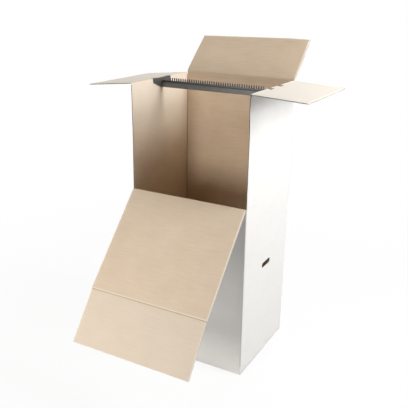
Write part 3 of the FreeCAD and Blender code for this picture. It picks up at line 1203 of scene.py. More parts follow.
@dataclass
class SideWall(Wall):
    """A side wall with its bottom fold and inner bottom flap.

    Attributes:
        hole_half, hole_radius: half length of the hand hole's straight part, and radius of its ends.
        field_s, field_t: half length and half height of the field round the hole.
        bow: how far the free front edge swings out of the wall's plane.
        bow_level, bow_spread: way below the crease at which it swings most, and height of that swing.
        bow_start: way from the middle at which the swing starts.
        faded: way below the crease over which its painted light ends.
    """

    side: Side = Side.RIGHT
    hole_half: float = 0.0345
    hole_radius: float = 0.013
    hole_level: float = 0.496
    hole_groove: float = 0.009
    hole_wave_lines: int = 8
    field_s: float = 0.062
    field_t: float = 0.036
    field_grid: tuple[int, int] = (13, 11)
    bow: float = -0.0028
    bow_level: float = 0.06
    bow_spread: float = 0.06
    bow_start: float = 0.1
    faded: float = 0.48

    @property
    def hole_t(self) -> float:
        """Way from the crease down to the middle of the hand hole."""
        return self.top - self.hole_level

    @property
    def open_t(self) -> float:
        """Way from the crease down to the end of the free front edge."""
        return self.top - self.sizes.door_level

    @property
    def field_lines(self) -> tuple[Array, Array]:
        """Lines along s and t through the field round the hand hole."""
        t = np.linspace(self.hole_t - self.field_t, self.hole_t + self.field_t, self.field_grid[1])
        return np.linspace(-self.field_s, self.field_s, self.field_grid[0]), t

    def s_marks(self) -> list[float]:
        """Lines at the edges, the notches, the groove and the field round the hand hole."""
        z, (near, far), field_s = self.sizes, self.sizes.notches, self.field_lines[0]
        return [*(z.stock.cut_steps - z.edge), -z.flat_y, -far, -near, *field_s, near, far, z.flat_y]

    def t_marks(self) -> list[float]:
        """Lines at the crease, the notches, the door's level, the hand hole, the bottom fold and the flap."""
        z, field_t, end = self.sizes, self.field_lines[1], self.past + self.flap - self.sizes.stock.cut_steps
        return [0.0, z.wall_notch, z.stock.crease_zone, self.open_t, *field_t, *self.bend_marks, *end]

    def there(self, s: Array, t: Array) -> Array:
        """Leaves out the notches, the strip in front of the corner fold and the field of the hand hole."""
        notch = self.sizes.notched(s) & (t < self.sizes.wall_notch)
        return ~(notch | ((s < -self.sizes.flat_y) & (t > self.open_t)) | self.patch(s, t))

    def patch(self, s: Array, t: Array) -> Array:
        """The field round the hand hole."""
        return (abs(s) < self.field_s) & (abs(t - self.hole_t) < self.field_t)

    def fade(self, s: Array, t: Array) -> Array:
        """Paler towards the top: painted light, brightest at the crease."""
        return self.pale * (1 - eased(t / self.faded))

    def to_side(self, s: Array, t: Array) -> Array:
        """Way to the free front edge."""
        return np.where(t < self.open_t, s + self.sizes.edge, FAR)

    def to_end(self, s: Array, t: Array) -> Array:
        """Way to the end of the bottom flap."""
        return self.past + self.flap - t

    def to_hole(self, s: Array, t: Array) -> Array:
        """Way from each (s, t) to the hand hole."""
        core = np.clip(s, -self.hole_half, self.hole_half)
        return np.hypot(s - core, t - self.hole_t) - self.hole_radius

    def place(self, s: Array, t: Array, u: Array) -> Array:
        """Down the wall, round the fold and along the bottom, with the free front edge bowed as a bell.

        Args:
            s, t, u: place on the sheet.

        Returns:
            The places.
        """
        z = self.sizes
        u = self.crushed(s, t, u)
        t = self.leaned(t, u, z.lid_lean)
        _, turn, run, level = self.bent(t, u)
        bell = np.exp(-(((t - self.bow_level) / self.bow_spread) ** 2)) * eased(t / z.stock.crease_zone)
        bowed = self.bow * bell * eased((-s - self.bow_start) / (z.edge - self.bow_start)) ** 2
        x = z.flat_x + (z.stock.inner_radius + u) * np.cos(turn) - run + bowed
        return np.stack([self.side.value * x, s, level], axis=1)

    def ring(self, s: Array, t: Array, levels: list[float]) -> Ground:
        """Rings from the hand hole outwards.

        Each point of the field's border is joined to the nearest point of the hole's middle line. The rings
        lie on that join, at a radius for each, the last on the border itself.

        Args:
            s, t: border points.
            levels: radius of each ring, or 0 for the border.

        Returns:
            The function from the numbers of a border point and of a ring to (s, t).
        """
        core = np.clip(s, -self.hole_half, self.hole_half)
        reach = np.hypot(s - core, t - self.hole_t)
        share = np.stack([np.full_like(reach, x) if x else reach for x in levels], axis=1) / reach[:, None]

        def ground(a: Array, b: Array) -> tuple[Array, Array]:
            """Place on the sheet, as a share of the way to the border."""
            n, way = a.astype(int), share[a.astype(int), b.astype(int)]
            return core[n] + (s - core)[n] * way, self.hole_t + (t - self.hole_t)[n] * way

        return ground

    def border(self, step: float = FAR) -> tuple[Array, Array]:
        """Points once round the field of the hand hole, on the wall's grid lines or closer.

        Args:
            step: widest gap.

        Returns:
            Their s and t.
        """
        near = self.sizes.notches[0]
        s, t = self.field_lines
        s, t = ruled([*s, -near, near], step), ruled(t, step)
        around_s = [s[:-1], np.full(len(t) - 1, s[-1]), s[:0:-1], np.full(len(t) - 1, s[0])]
        around_t = [np.full(len(s) - 1, t[0]), t[:-1], np.full(len(s) - 1, t[-1]), t[:0:-1]]
        return np.concatenate(around_s), np.concatenate(around_t)

    def more(self) -> list[Skin]:
        """The field round the hand hole.

        Returns:
            Its skin.
        """
        s, t = self.border()
        count = len(s)
        ground = self.ring(s, t, [self.hole_radius, self.hole_radius + self.hole_groove, 0.0])
        filled = np.ones((count, 2, 3), bool)
        filled[:, 0, 1] = False
        goes_on = np.zeros((count + 2, 4), bool)
        goes_on[:, -1] = True
        lines = (np.arange(count), np.arange(3), self.sizes.stock.layers)
        return [block_skin(lines, filled, self.place, ground, self.to_hole, self.fade, goes_on, True)]

    def fluting(self) -> list[Skin]:
        """Adds the fluted paper round the hand hole.

        Returns:
            The skins of the fluted paper.
        """
        stock = self.sizes.stock
        s, t = self.border(stock.pitch / self.hole_wave_lines)
        ground = self.ring(s, t, [self.hole_radius + stock.recess, self.hole_radius + self.hole_groove])
        here = np.ones((len(s), 1, 1), bool)
        lines = (np.arange(len(s)), np.arange(2), stock.sheet)
        ring = block_skin(lines, here, self.waved, ground, loop=True)
        return [*super().fluting(), ring.painted(Paper.FLUTE)]


@dataclass
class MainWall(Wall):
    """The front or back wall with its corner folds, bottom fold and outer bottom flap.

    Attributes:
        fold_top: height of the corner folds' upper ends.
        lean: of its fold end, in degrees.
        tape_half, tape_depth, tape_rise: half width of the seam's tape, its depth, and width of its step.
    """

    end: End = End.BACK
    foot: float = SIZES.stock.inner_radius + SIZES.stock.thickness
    fold_top: float = 1.34034
    lean: float = SIZES.lid_lean
    tape_half: float = 0.025
    tape_depth: float = 0.0003
    tape_rise: float = 0.001
    corner_lines: int = 9
    pressed: bool = True

    def s_marks(self) -> list[float]:
        """Lines at the flap's sides and through the corner folds."""
        bend = np.linspace(self.sizes.flat_x, self.sizes.flat_x + self.sizes.stock.bend, self.corner_lines)
        return [*(-bend), *bend, -self.sizes.main_half, self.sizes.main_half]

    def t_marks(self) -> list[float]:
        """Lines at the crease, the corner folds' ends, the bottom fold, the tape and the flap's end."""
        end = self.past + self.flap - np.array([self.tape_half + self.tape_rise, self.tape_half, 0.0])
        return [*self.sizes.stock.score_steps, self.top - self.fold_top, *self.bend_marks, *end]

    def there(self, s: Array, t: Array) -> Array:
        """The wall with its corner folds, the bottom fold between them and the flap.

        Args:
            s, t: place on the sheet.

        Returns:
            Whether there is board.
        """
        flat = abs(s) < self.sizes.flat_x
        wall = (t < self.flat) & (flat | (t > self.top - self.fold_top))
        fold = (t > self.flat) & (t < self.past) & flat
        flap = (t > self.past) & (abs(s) < self.sizes.main_half)
        return wall | fold | flap

    def to_score(self, s: Array, t: Array) -> Array:
        """Way to the back lid's crease."""
        return t if self.end is End.BACK else super().to_score(s, t)

    def to_rim(self, s: Array, t: Array) -> Array:
        """Way to the crease, or how deep a place lies in a corner fold, as a value below 0 that paints shade
        into the fold.
        """
        deep = self.sizes.stock.bend / 2 - abs(abs(s) - self.sizes.flat_x - self.sizes.stock.bend / 2)
        return np.where((deep > 0) & (t < self.flat), -deep, t)

    def place(self, s: Array, t: Array, u: Array) -> Array:
        """Round the corners by quarter circles, or down round the bottom fold and along the floor.

        Args:
            s, t, u: place on the sheet.

        Returns:
            The places.
        """
        z = self.sizes
        u = self.crushed(s, t, u)
        face = u if self.end is End.BACK else z.stock.thickness - u
        t = self.leaned(t, face, self.lean)
        below, turn, run, level = self.bent(t, u)
        arm = z.stock.inner_radius + u
        corner = np.clip((abs(s) - z.flat_x) / z.stock.bend, 0, 1) * math.pi / 2
        corner = np.where(below > HAIR, 0.0, corner)
        straight = np.where(below > HAIR, abs(s), np.minimum(abs(s), z.flat_x))
        x = np.sign(s) * (straight + arm * np.sin(corner))
        y = z.flat_y + arm * np.cos(corner) * np.cos(turn) - run
        step = run - (self.flap - self.tape_half - self.tape_rise)
        level += self.tape_depth * eased(step / self.tape_rise) * (u / z.stock.thickness)
        return np.stack([x, self.end.value * y, level], axis=1)


@dataclass
class Flap(BoardPiece):
    """A panel with two edges cut along the flutes, as far from the middle as half says."""

    half: float = SIZES.main_half

    def s_marks(self) -> list[float]:
        """Lines at the sides and their grooves."""
        side = self.half - self.sizes.stock.cut_steps
        return [*side, *-side]

    def to_side(self, s: Array, t: Array) -> Array:
        """Way to the nearer side."""
        return self.half - abs(s)

    def fade(self, s: Array, t: Array) -> Array:
        """Paler along the right edge: a painted highlight where the edge catches the light."""
        return np.maximum(self.pale, rubbed(self.half - s))


@dataclass
class Lid(Flap):
    """A flap that closes the top, folded out about the crease on its way from the middle."""

    way: Way = Side.RIGHT

    @property
    def hinge(self) -> Hinge:
        """Its fold line."""
        return HINGES[self.way.word + "_lid_hinge"]

    def to_end(self, s: Array, t: Array) -> Array:
        """Way to the free end."""
        return self.sizes.lid - t


@dataclass
class SideLid(Lid):
    """A side lid with notches for the prongs of the rail."""

    half: float = SIZES.side_half

    def s_marks(self) -> list[float]:
        """Lines at the sides, the grooves and the notches."""
        near, far = self.sizes.notches
        return [*super().s_marks(), -far, -near, near, far]

    def t_marks(self) -> list[float]:
        """Lines at the crease, the notches' ends, the groove and the free end."""
        z = self.sizes
        return [0.0, z.lid_notch, z.stock.crease_zone, *(z.lid - z.stock.cut_steps)]

    def there(self, s: Array, t: Array) -> Array:
        """Leaves out the notches."""
        return ~(self.sizes.notched(s) & (t < self.sizes.lid_notch))

    def fade(self, s: Array, t: Array) -> Array:
        """Paler along the free end: a painted highlight."""
        return np.maximum(self.pale, rubbed(self.sizes.lid - t))

    def place(self, s: Array, t: Array, u: Array) -> Array:
        """Upright on the wall's crease, then folded out about it.

        Args:
            s, t, u: place on the sheet.

        Returns:
            The places.
        """
        z = self.sizes
        u = self.crushed(s, t, u)
        height = z.side_top + self.leaned(t, u, z.lid_lean)
        upright = np.stack([self.way.value * (z.inner_x + u), s, height], axis=1)
        return self.hinge.turn(upright, self.hinge.folded)


@dataclass
class MainLid(Lid):
    """The front or back lid.

    Attributes:
        curl, curl_width: how far its right edge curls to the white side, and the width of that curl.
        curl_start: way from the crease over which the curl sets in.
        twist, crown: how far its free left corner, and its middle, stand to the white side.
    """

    way: Way = End.BACK
    curl: float = 0.004
    curl_width: float = 0.13
    curl_start: float = 0.12
    twist: float = 0.0
    crown: float = 0.001

    @property
    def lean(self) -> float:
        """Lean of its fold end, in degrees."""
        return self.sizes.lid_lean if self.way is End.BACK else self.sizes.front_lid_lean

    def t_marks(self) -> list[float]:
        """Lines at the crease, the groove and the free end."""
        z = self.sizes
        return [*z.stock.score_steps, *(z.lid - z.stock.cut_steps)]

    def to_score(self, s: Array, t: Array) -> Array:
        """Way to its crease."""
        return t

    def place(self, s: Array, t: Array, u: Array) -> Array:
        """Upright on its crease, then folded out, and the front one hung with the door.

        The curl is a square of the way into its width, the crown a parabola along s times half a sine along
        t, and the twist rises evenly along s and by a power of 1.5 along t.

        Args:
            s, t, u: place on the sheet.

        Returns:
            The places.
        """
        z = self.sizes
        u = self.crushed(s, t, u)
        edge = np.clip((s - self.half + self.curl_width) / self.curl_width, 0, 1) ** 2
        belly = (1 - (s / self.half) ** 2) * np.sin(np.clip(t / z.lid, 0, 1) * math.pi)
        corner = (1 - s / self.half) / 2 * (np.clip(t, 0, None) / z.lid) ** 1.5
        out = u + self.curl * edge * eased(t / self.curl_start) + self.crown * belly + self.twist * corner
        height = z.main_top + self.leaned(t, u, self.lean)
        points = np.stack([s, self.way.value * (z.inner_y + out), height], axis=1)
        if self.way is End.FRONT:
            door = HINGES["door_hinge"]
            points = door.turn(points, door.closing)
        return self.hinge.turn(points, self.hinge.folded)


@dataclass
class Door(Flap):
    """The upper front panel, which folds out and down, its middle bowed to the white side."""

    bow: float = 0.0015
    folds: tuple[bool, bool] = (True, True)

    @property
    def length(self) -> float:
        """From its own fold line to the front lid's."""
        return self.sizes.main_top - self.sizes.door_level

    def t_marks(self) -> list[float]:
        """Lines at both creases."""
        stock = self.sizes.stock
        return [0.0, stock.crease_zone, *(self.length - stock.score_steps)]

    def to_score(self, s: Array, t: Array) -> Array:
        """Way to the front lid's crease."""
        return self.length - t

    def to_rim(self, s: Array, t: Array) -> Array:
        """Way to the nearest side edge or crease."""
        return np.minimum(super().to_rim(s, t), self.length - t)

    def place(self, s: Array, t: Array, u: Array) -> Array:
        """Upright in the front of the box, then folded out about the crease in its white face.

        The bow is a parabola along s times half a sine along t.

        Args:
            s, t, u: place on the sheet.

        Returns:
            The places.
        """
        z = self.sizes
        u = self.crushed(s, t, u)
        t = self.leaned(t, z.stock.thickness - u, 0.0)
        t = self.length - self.leaned(self.length - t, u, z.front_lid_lean)
        belly = self.bow * (1 - (s / self.half) ** 2) * np.sin(np.clip(t / self.length, 0, 1) * math.pi)
        upright = np.stack([s, -(z.inner_y + u + belly), z.door_level + t], axis=1)
        door = HINGES["door_hinge"]
        return door.turn(upright, door.closing)


@dataclass
class GlueStrip(BoardPiece):
    """The joint strip glued inside the right wall at its back corner, from low to high."""

    width: float = 0.038
    low: float = 0.03
    high: float = 1.32034
    folds: tuple[bool, bool] = (False, False)

    @property
    def front(self) -> float:
        """Place of its front edge."""
        return self.sizes.flat_y - self.width

    def s_marks(self) -> list[float]:
        """Lines at its sides and its groove."""
        return [*(self.front + self.sizes.stock.cut_steps), self.sizes.flat_y]

    def t_marks(self) -> list[float]:
        """Lines at its ends and their grooves."""
        steps = self.sizes.stock.cut_steps
        return [*steps, *(self.high - self.low - steps)]

    def to_side(self, s: Array, t: Array) -> Array:
        """Way to its front edge."""
        return s - self.front

    def to_end(self, s: Array, t: Array) -> Array:
        """Way to the nearer end."""
        return np.minimum(t, self.high - self.low - t)

    def place(self, s: Array, t: Array, u: Array) -> Array:
        """Flat against the right wall, kraft face to the room."""
        x = self.sizes.inner_x - self.sizes.stock.thickness + self.crushed(s, t, u)
        return np.stack([x, s, self.high - t], axis=1)


@dataclass
class HandTab(BoardPiece):
    """The tab of a hand hole, pushed in and up.

    Attributes:
        half, radius: half length of its straight part, and radius of the hole's ends.
        inset: gap between it and the hole, when shut.
        start: way from its fold line to its upper end.
    """

    side: Side = Side.RIGHT
    half: float = 0.0345
    radius: float = 0.013
    inset: float = 0.0005
    start: float = 0.0006
    lines: int = 13
    step: float = 0.1

    @property
    def hinge(self) -> Hinge:
        """Its fold line."""
        return HINGES[self.side.word + "_hand_tab_hinge"]

    def s_marks(self) -> list[float]:
        """Lines from side to side, as shares of the half width."""
        return np.linspace(-1, 1, self.lines).tolist()

    def t_marks(self) -> list[float]:
        """Lines from the fold to the lower edge, closer towards the ends."""
        share = 1 - np.cos(np.linspace(0, math.pi, self.lines))
        return (self.start + (2 * self.radius - self.inset - self.start) * share / 2).tolist()

    def place(self, s: Array, t: Array, u: Array) -> Array:
        """Shares of a half width that follows the round ends, folded in about the fold line.

        Args:
            s, t, u: place on the sheet.

        Returns:
            The places.
        """
        r = self.radius - self.inset
        wide = self.half + np.sqrt(np.maximum(r * r - (t - self.radius) ** 2, 0))
        x = self.side.value * (self.sizes.inner_x + u)
        points = np.stack([x, s * wide, self.hinge.at[2] - t], axis=1)
        return self.hinge.turn(points, self.hinge.closing)


@dataclass(frozen=True)
class CreaseBead:
    """The pressed line of a rigid fold: a thin bead, kraft towards the room and white outside."""

    radius: float = 0.0008
    corners: int = 16
    sheet_t: float = 0.01

    def skin(self, start: Array, end: Array, inward: Array) -> Skin:
        """A round bar: a circle square to the line, carried along it, kraft where it faces inward.

        Args:
            start, end: of the line.
            inward: direction of the kraft side.

        Returns:
            The bead's skin.
        """
        way = (end - start) / np.linalg.norm(end - start)
        one = np.cross(way, np.array([0.0, 0.0, 1.0]))
        two = np.cross(way, one)
        angle = np.linspace(0, 2 * math.pi, self.corners, endpoint=False)[:, None]
        circle = self.radius * (np.cos(angle) * one + np.sin(angle) * two)
        bar = carried(np.stack([start + circle, end + circle]))
        middle = bar.points[bar.quads].mean(1) - start
        across = middle - np.outer(middle @ way, way)
        bar.slots = np.where(across @ inward > -HAIR, Paper.KRAFT.value, Paper.WHITE.value)
        bar.sheet = np.stack([bar.points @ way, np.full(len(bar.points), self.sheet_t)], axis=1)
        return bar


@dataclass
class FoldSkin:
    """A paper skin over a fold, which bends with it.

    Attributes:
        fold: degrees that the fold stands open, from straight.
        reach, lift: half width of a score line's skin across the fold, and how far it lies over the panels.
        ridge: how far that skin is buckled up along the line.
        rubbed: how pale the ridge is drawn before the fold, as a painted highlight.
            shade, shade_reach: how dark the painted shade behind the fold is, and over what share of the
                reach.
    """

    hinge: Hinge
    half: float
    fold: float
    sizes: BoxSizes = SIZES
    step: float = 0.05
    paper: float = 0.0004
    reach: float = 0.005
    lift: float = 0.00015
    ridge: float = 0.0
    rubbed: float = 0.75
    shade: float = 0.45
    shade_reach: float = 0.7
    lines: int = 25
    arc_lines: int = 17

    def arc(self, radius: float, first: Array) -> Skin:
        """Part of a round: an arm that swings about the fold line by t times the fold.

        Args:
            radius, first: of the round, and direction of its first arm.

        Returns:
            The skin, as wide as the fold.
        """
        def place(s: Array, t: Array, u: Array) -> Array:
            """The arm at s along the line, swung."""
            return self._folded(s, np.outer(radius - self.paper + u, first), t)

        return self._made(np.linspace(0, 1, self.arc_lines), place)

    def valley(self, along: Array, inward: Array) -> Skin:
        """The pressed score line along the fold on its kraft side.

        It lies a hair over the pressed ends of both panels, with a ridge that falls off as a squared cosine,
        and the half on the moving side is folded by a smooth share. A ridge gets a painted highlight before
        the fold and painted shade behind it.

        Args:
            along, inward: directions to the moving side and to the kraft side, when straight.

        Returns:
            The skin, as wide as the fold.
        """
        def place(s: Array, t: Array, u: Array) -> Array:
            """Across the fold by t and down by the score's depth, then folded.

            Args:
                s, t, u: place on the sheet.

            Returns:
                The places.
            """
            bell = self.ridge * np.cos(t / self.reach * math.pi / 2) ** 2
            up = u - self.paper + self.lift - self.sizes.stock.scored(t) + bell
            return self._folded(s, np.outer(t, along) + np.outer(up, inward), eased((t / self.reach + 1) / 2))

        skin = self._made(np.linspace(-self.reach, self.reach, self.lines), place)
        if self.ridge > 0:
            # painted highlight before the fold and painted shade behind it, standing in for the ridge's own
            # light and shade
            t = skin.sheet[:, 1]
            dark = (t > 0) & (t < self.shade_reach * self.reach)
            skin.pale = np.where(t < 0, self.rubbed, 0.0)
            skin.rim = np.where(dark, -self.shade * SHADE_RIM, FAR)
        return skin

    def liner(self, along: Array, outward: Array, lean: float, dip: float) -> Skin:
        """The outer liner across the gap between two leaning fold ends.

        When straight it lies flat at the board's thickness from the fold line, so its radius is that
        thickness over the cosine of the angle, less a dip in the middle. The fold swings it by a smooth
        share.

        Args:
            along, outward: directions to the moving side and to the white side, when straight.
            lean, dip: of the fold ends in degrees, and depth of the pressed line.

        Returns:
            The skin, as wide as the fold.
        """
        def place(s: Array, t: Array, u: Array) -> Array:
            """A radius and an angle about the fold line, then folded.

            Args:
                s, t, u: place on the sheet.

            Returns:
                The places.
            """
            angle = np.radians(lean) * (2 * t - 1)
            pressed = dip * np.sin(math.pi * t) ** 2
            radius = self.sizes.stock.thickness / np.cos(angle) - pressed - self.paper + u
            arm = np.outer(radius * np.cos(angle), outward) + np.outer(radius * np.sin(angle), along)
            return self._folded(s, arm, eased(t))

        return self._made(np.linspace(0.0, 1.0, self.lines), place).painted(Paper.WHITE)

    def _folded(self, s: Array, arm: Array, share: Array) -> Array:
        """Arms from the fold line at s, swung by a share of the fold."""
        return self.hinge.turn(self.hinge.at + np.outer(s, [1.0, 0.0, 0.0]) + arm, share * self.fold)

    def _made(self, t: Array, place: Placing) -> Skin:
        """A thin closed kraft sheet along the fold.

        Args:
            t: grid lines across the fold.
            place: gives the place of each (s, t, u).

        Returns:
            Its skin.
        """
        s = ruled([-self.half, self.half], self.step)
        filled = np.ones((len(s) - 1, len(t) - 1, 1), bool)
        return block_skin((s, t, np.array([0.0, self.paper])), filled, place).painted(Paper.KRAFT)


@dataclass
class Carton:
    """The board box: walls, door, lids, folds, hand tabs and tape.

    Attributes:
        bead, tab_bead: of the rigid creases and of the hand tabs' fold lines.
        tab_margin: how far the latter end before the tabs' round ends.
        front_lid_half: half width of the front lid, which is cut a little narrower than the door.
        fold_margin, front_ridge: how far its fold ends before its sides, and is buckled up.
        front_dip, back_dip: how deep the outer liner is pressed in along the main lids' creases.
    """

    dresser: Dresser
    sizes: BoxSizes = SIZES
    bead: CreaseBead = CreaseBead()
    tab_bead: CreaseBead = CreaseBead(0.0007)
    tab_margin: float = 0.0003
    front_fold_top: float = 0.8447
    front_lid_half: float = 0.2967
    fold_margin: float = 0.0005
    front_ridge: float = 0.0026
    front_dip: float = 0.0005
    back_dip: float = 0.0008

    def build(self) -> None:
        """Builds and dresses every piece of board."""
        self._walls()
        self._lids()
        self._hand_holes()
        self._creases()
        self._bending_folds()
        self._tape()

    def _walls(self) -> None:
        """The four walls with their folds and bottom flaps, and the glued strip."""
        z = self.sizes
        # The left wall's kraft is drawn paler towards its top: painted light.
        left = SideWall(
            side=Side.LEFT, bow=-0.0018, bow_level=0.24, bow_spread=0.16, pale=0.6, side_crush=0.0006,
        )
        right = SideWall(side=Side.RIGHT, side_crush=0.0006)
        back = MainWall(end=End.BACK, top=z.main_top)
        front = MainWall(end=End.FRONT, top=z.door_level, fold_top=self.front_fold_top, lean=0.0)
        for word, wall in {"left": left, "right": right, "back": back, "front": front}.items():
            corners = ("left_fold", "right_fold") if isinstance(wall, MainWall) else ()
            nodes = tuple(f"{word}_{x}" for x in ("wall", *corners, "bottom_fold", "bottom_flap"))
            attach(self.dresser.board_piece(word + "_wall_board", wall.skin(), nodes), "box")
        strip = self.dresser.board_piece("glued_strip", GlueStrip().skin(), ("glue_tab",))
        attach(strip, "box")

    def _lids(self) -> None:
        """The door and the four lids."""
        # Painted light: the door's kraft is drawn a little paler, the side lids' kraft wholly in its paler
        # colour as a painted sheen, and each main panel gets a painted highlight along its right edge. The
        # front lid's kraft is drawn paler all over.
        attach(self.dresser.board_piece("door_board", Door(pale=0.15).skin(), ("front_door",)), "door")
        lids = {side.word + "_lid": SideLid(way=side, pale=1.0, side_crush=0.0005) for side in Side}
        lids["back_lid"] = MainLid(way=End.BACK, curl=0.0065, curl_width=0.15, twist=0.014)
        lids["front_lid"] = MainLid(way=End.FRONT, curl=0.0015, half=self.front_lid_half, pale=0.42)
        for name, lid in lids.items():
            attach(self.dresser.board_piece(name + "_board", lid.skin(), (name,)), name)

    def _hand_holes(self) -> None:
        """The tabs of the hand holes and their fold lines."""
        for side in Side:
            tab = HandTab(side=side)
            name = side.word + "_hand_tab"
            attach(self.dresser.board_piece(name + "_board", tab.skin(), (name,)), name)
            run = np.array([0.0, tab.half - self.tab_margin, 0.0])
            skin = self.tab_bead.skin(tab.hinge.at - run, tab.hinge.at + run, side.inward)
            line = self.dresser.fold_piece(side.word + "_hand_line", skin, (side.word + "_hand_crease",))
            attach(line, "box")

    def _creases(self) -> None:
        """The beads of the side lids and of the door, which don't bend."""
        z = self.sizes
        near, far = z.notches
        spans = ((-z.flat_y, -far), (-near, near), (far, z.flat_y))
        for side in Side:
            at = HINGES[side.word + "_lid_hinge"].at
            ends = [(at + [0, low, 0], at + [0, high, 0]) for low, high in spans]
            skin = joined([self.bead.skin(a, b, side.inward) for a, b in ends])
            piece = self.dresser.fold_piece(side.word + "_lid_line", skin, (side.word + "_lid_crease",))
            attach(piece, "box")
        at, run = HINGES["door_hinge"].at, np.array([z.flat_x, 0.0, 0.0])
        skin = self.bead.skin(at - run, at + run, np.array([0.0, 1.0, 0.0])).painted(Paper.WHITE)
        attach(self.dresser.fold_piece("door_line", skin, ("door_crease",)), "box")

    def _bending_folds(self) -> None:
        """Skins over the folds of the door, the front lid and the back lid, each shaped round its fold as it
        stands.
        """
        z = self.sizes
        door, front, back = HINGES["door_hinge"], HINGES["front_lid_hinge"], HINGES["back_lid_hinge"]
        up, behind = np.array([0.0, 0.0, 1.0]), np.array([0.0, 1.0, 0.0])
        reach = z.stock.thickness
        skin = FoldSkin(door, z.flat_x, door.closing).arc(reach, behind)
        piece = self.dresser.fold_piece("door_fold", skin)
        start, end = door.at + behind * reach, door.at + door.swung(behind, door.closing) * reach
        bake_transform(piece)
        hung = (door.swung(up, door.closing), door.swung(-behind, door.closing))
        maker = FoldSkin(front, self.front_lid_half - self.fold_margin, front.folded, ridge=self.front_ridge)
        self._lid_fold("front_lid", maker, hung, z.front_lid_lean, self.front_dip)
        maker = FoldSkin(back, z.flat_x, back.folded)
        self._lid_fold("back_lid", maker, (up, behind), z.lid_lean, self.back_dip)

    def _lid_fold(
        self, lid: str, maker: FoldSkin, ways: tuple[Array, Array], lean: float, dip: float,
    ) -> None:
        """Makes the pressed line inside a lid's fold and the liner outside it.

        Args:
            lid: the body on the moving side, whose name starts the pieces' names.
            maker: of the skins.
            ways: directions along the panel and outwards, when straight.
            lean, dip: of the fold ends in degrees, and depth of the pressed line.
        """
        along, outward = ways
        hinge, thick = maker.hinge, self.sizes.stock.thickness
        piece = self.dresser.fold_piece(lid + "_line", maker.valley(along, -outward), (lid + "_crease",))
        end = hinge.at + hinge.swung(along, maker.fold) * maker.reach
        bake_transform(piece)
        across = along * (thick * math.tan(math.radians(lean)))
        piece = self.dresser.fold_piece(lid + "_fold", maker.liner(along, outward, lean, dip))
        end = hinge.turn((hinge.at + outward * thick + across)[None], maker.fold)[0]
        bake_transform(piece)

    def _tape(self) -> None:
        """The paper tape under the bottom, which keeps its own shape."""
        tape = frame["nodes"]["bottom_tape"]
        tape.data.materials.clear()
        tape.data.materials.append(self.dresser.tape)
        log.info("bottom_tape: dressed")


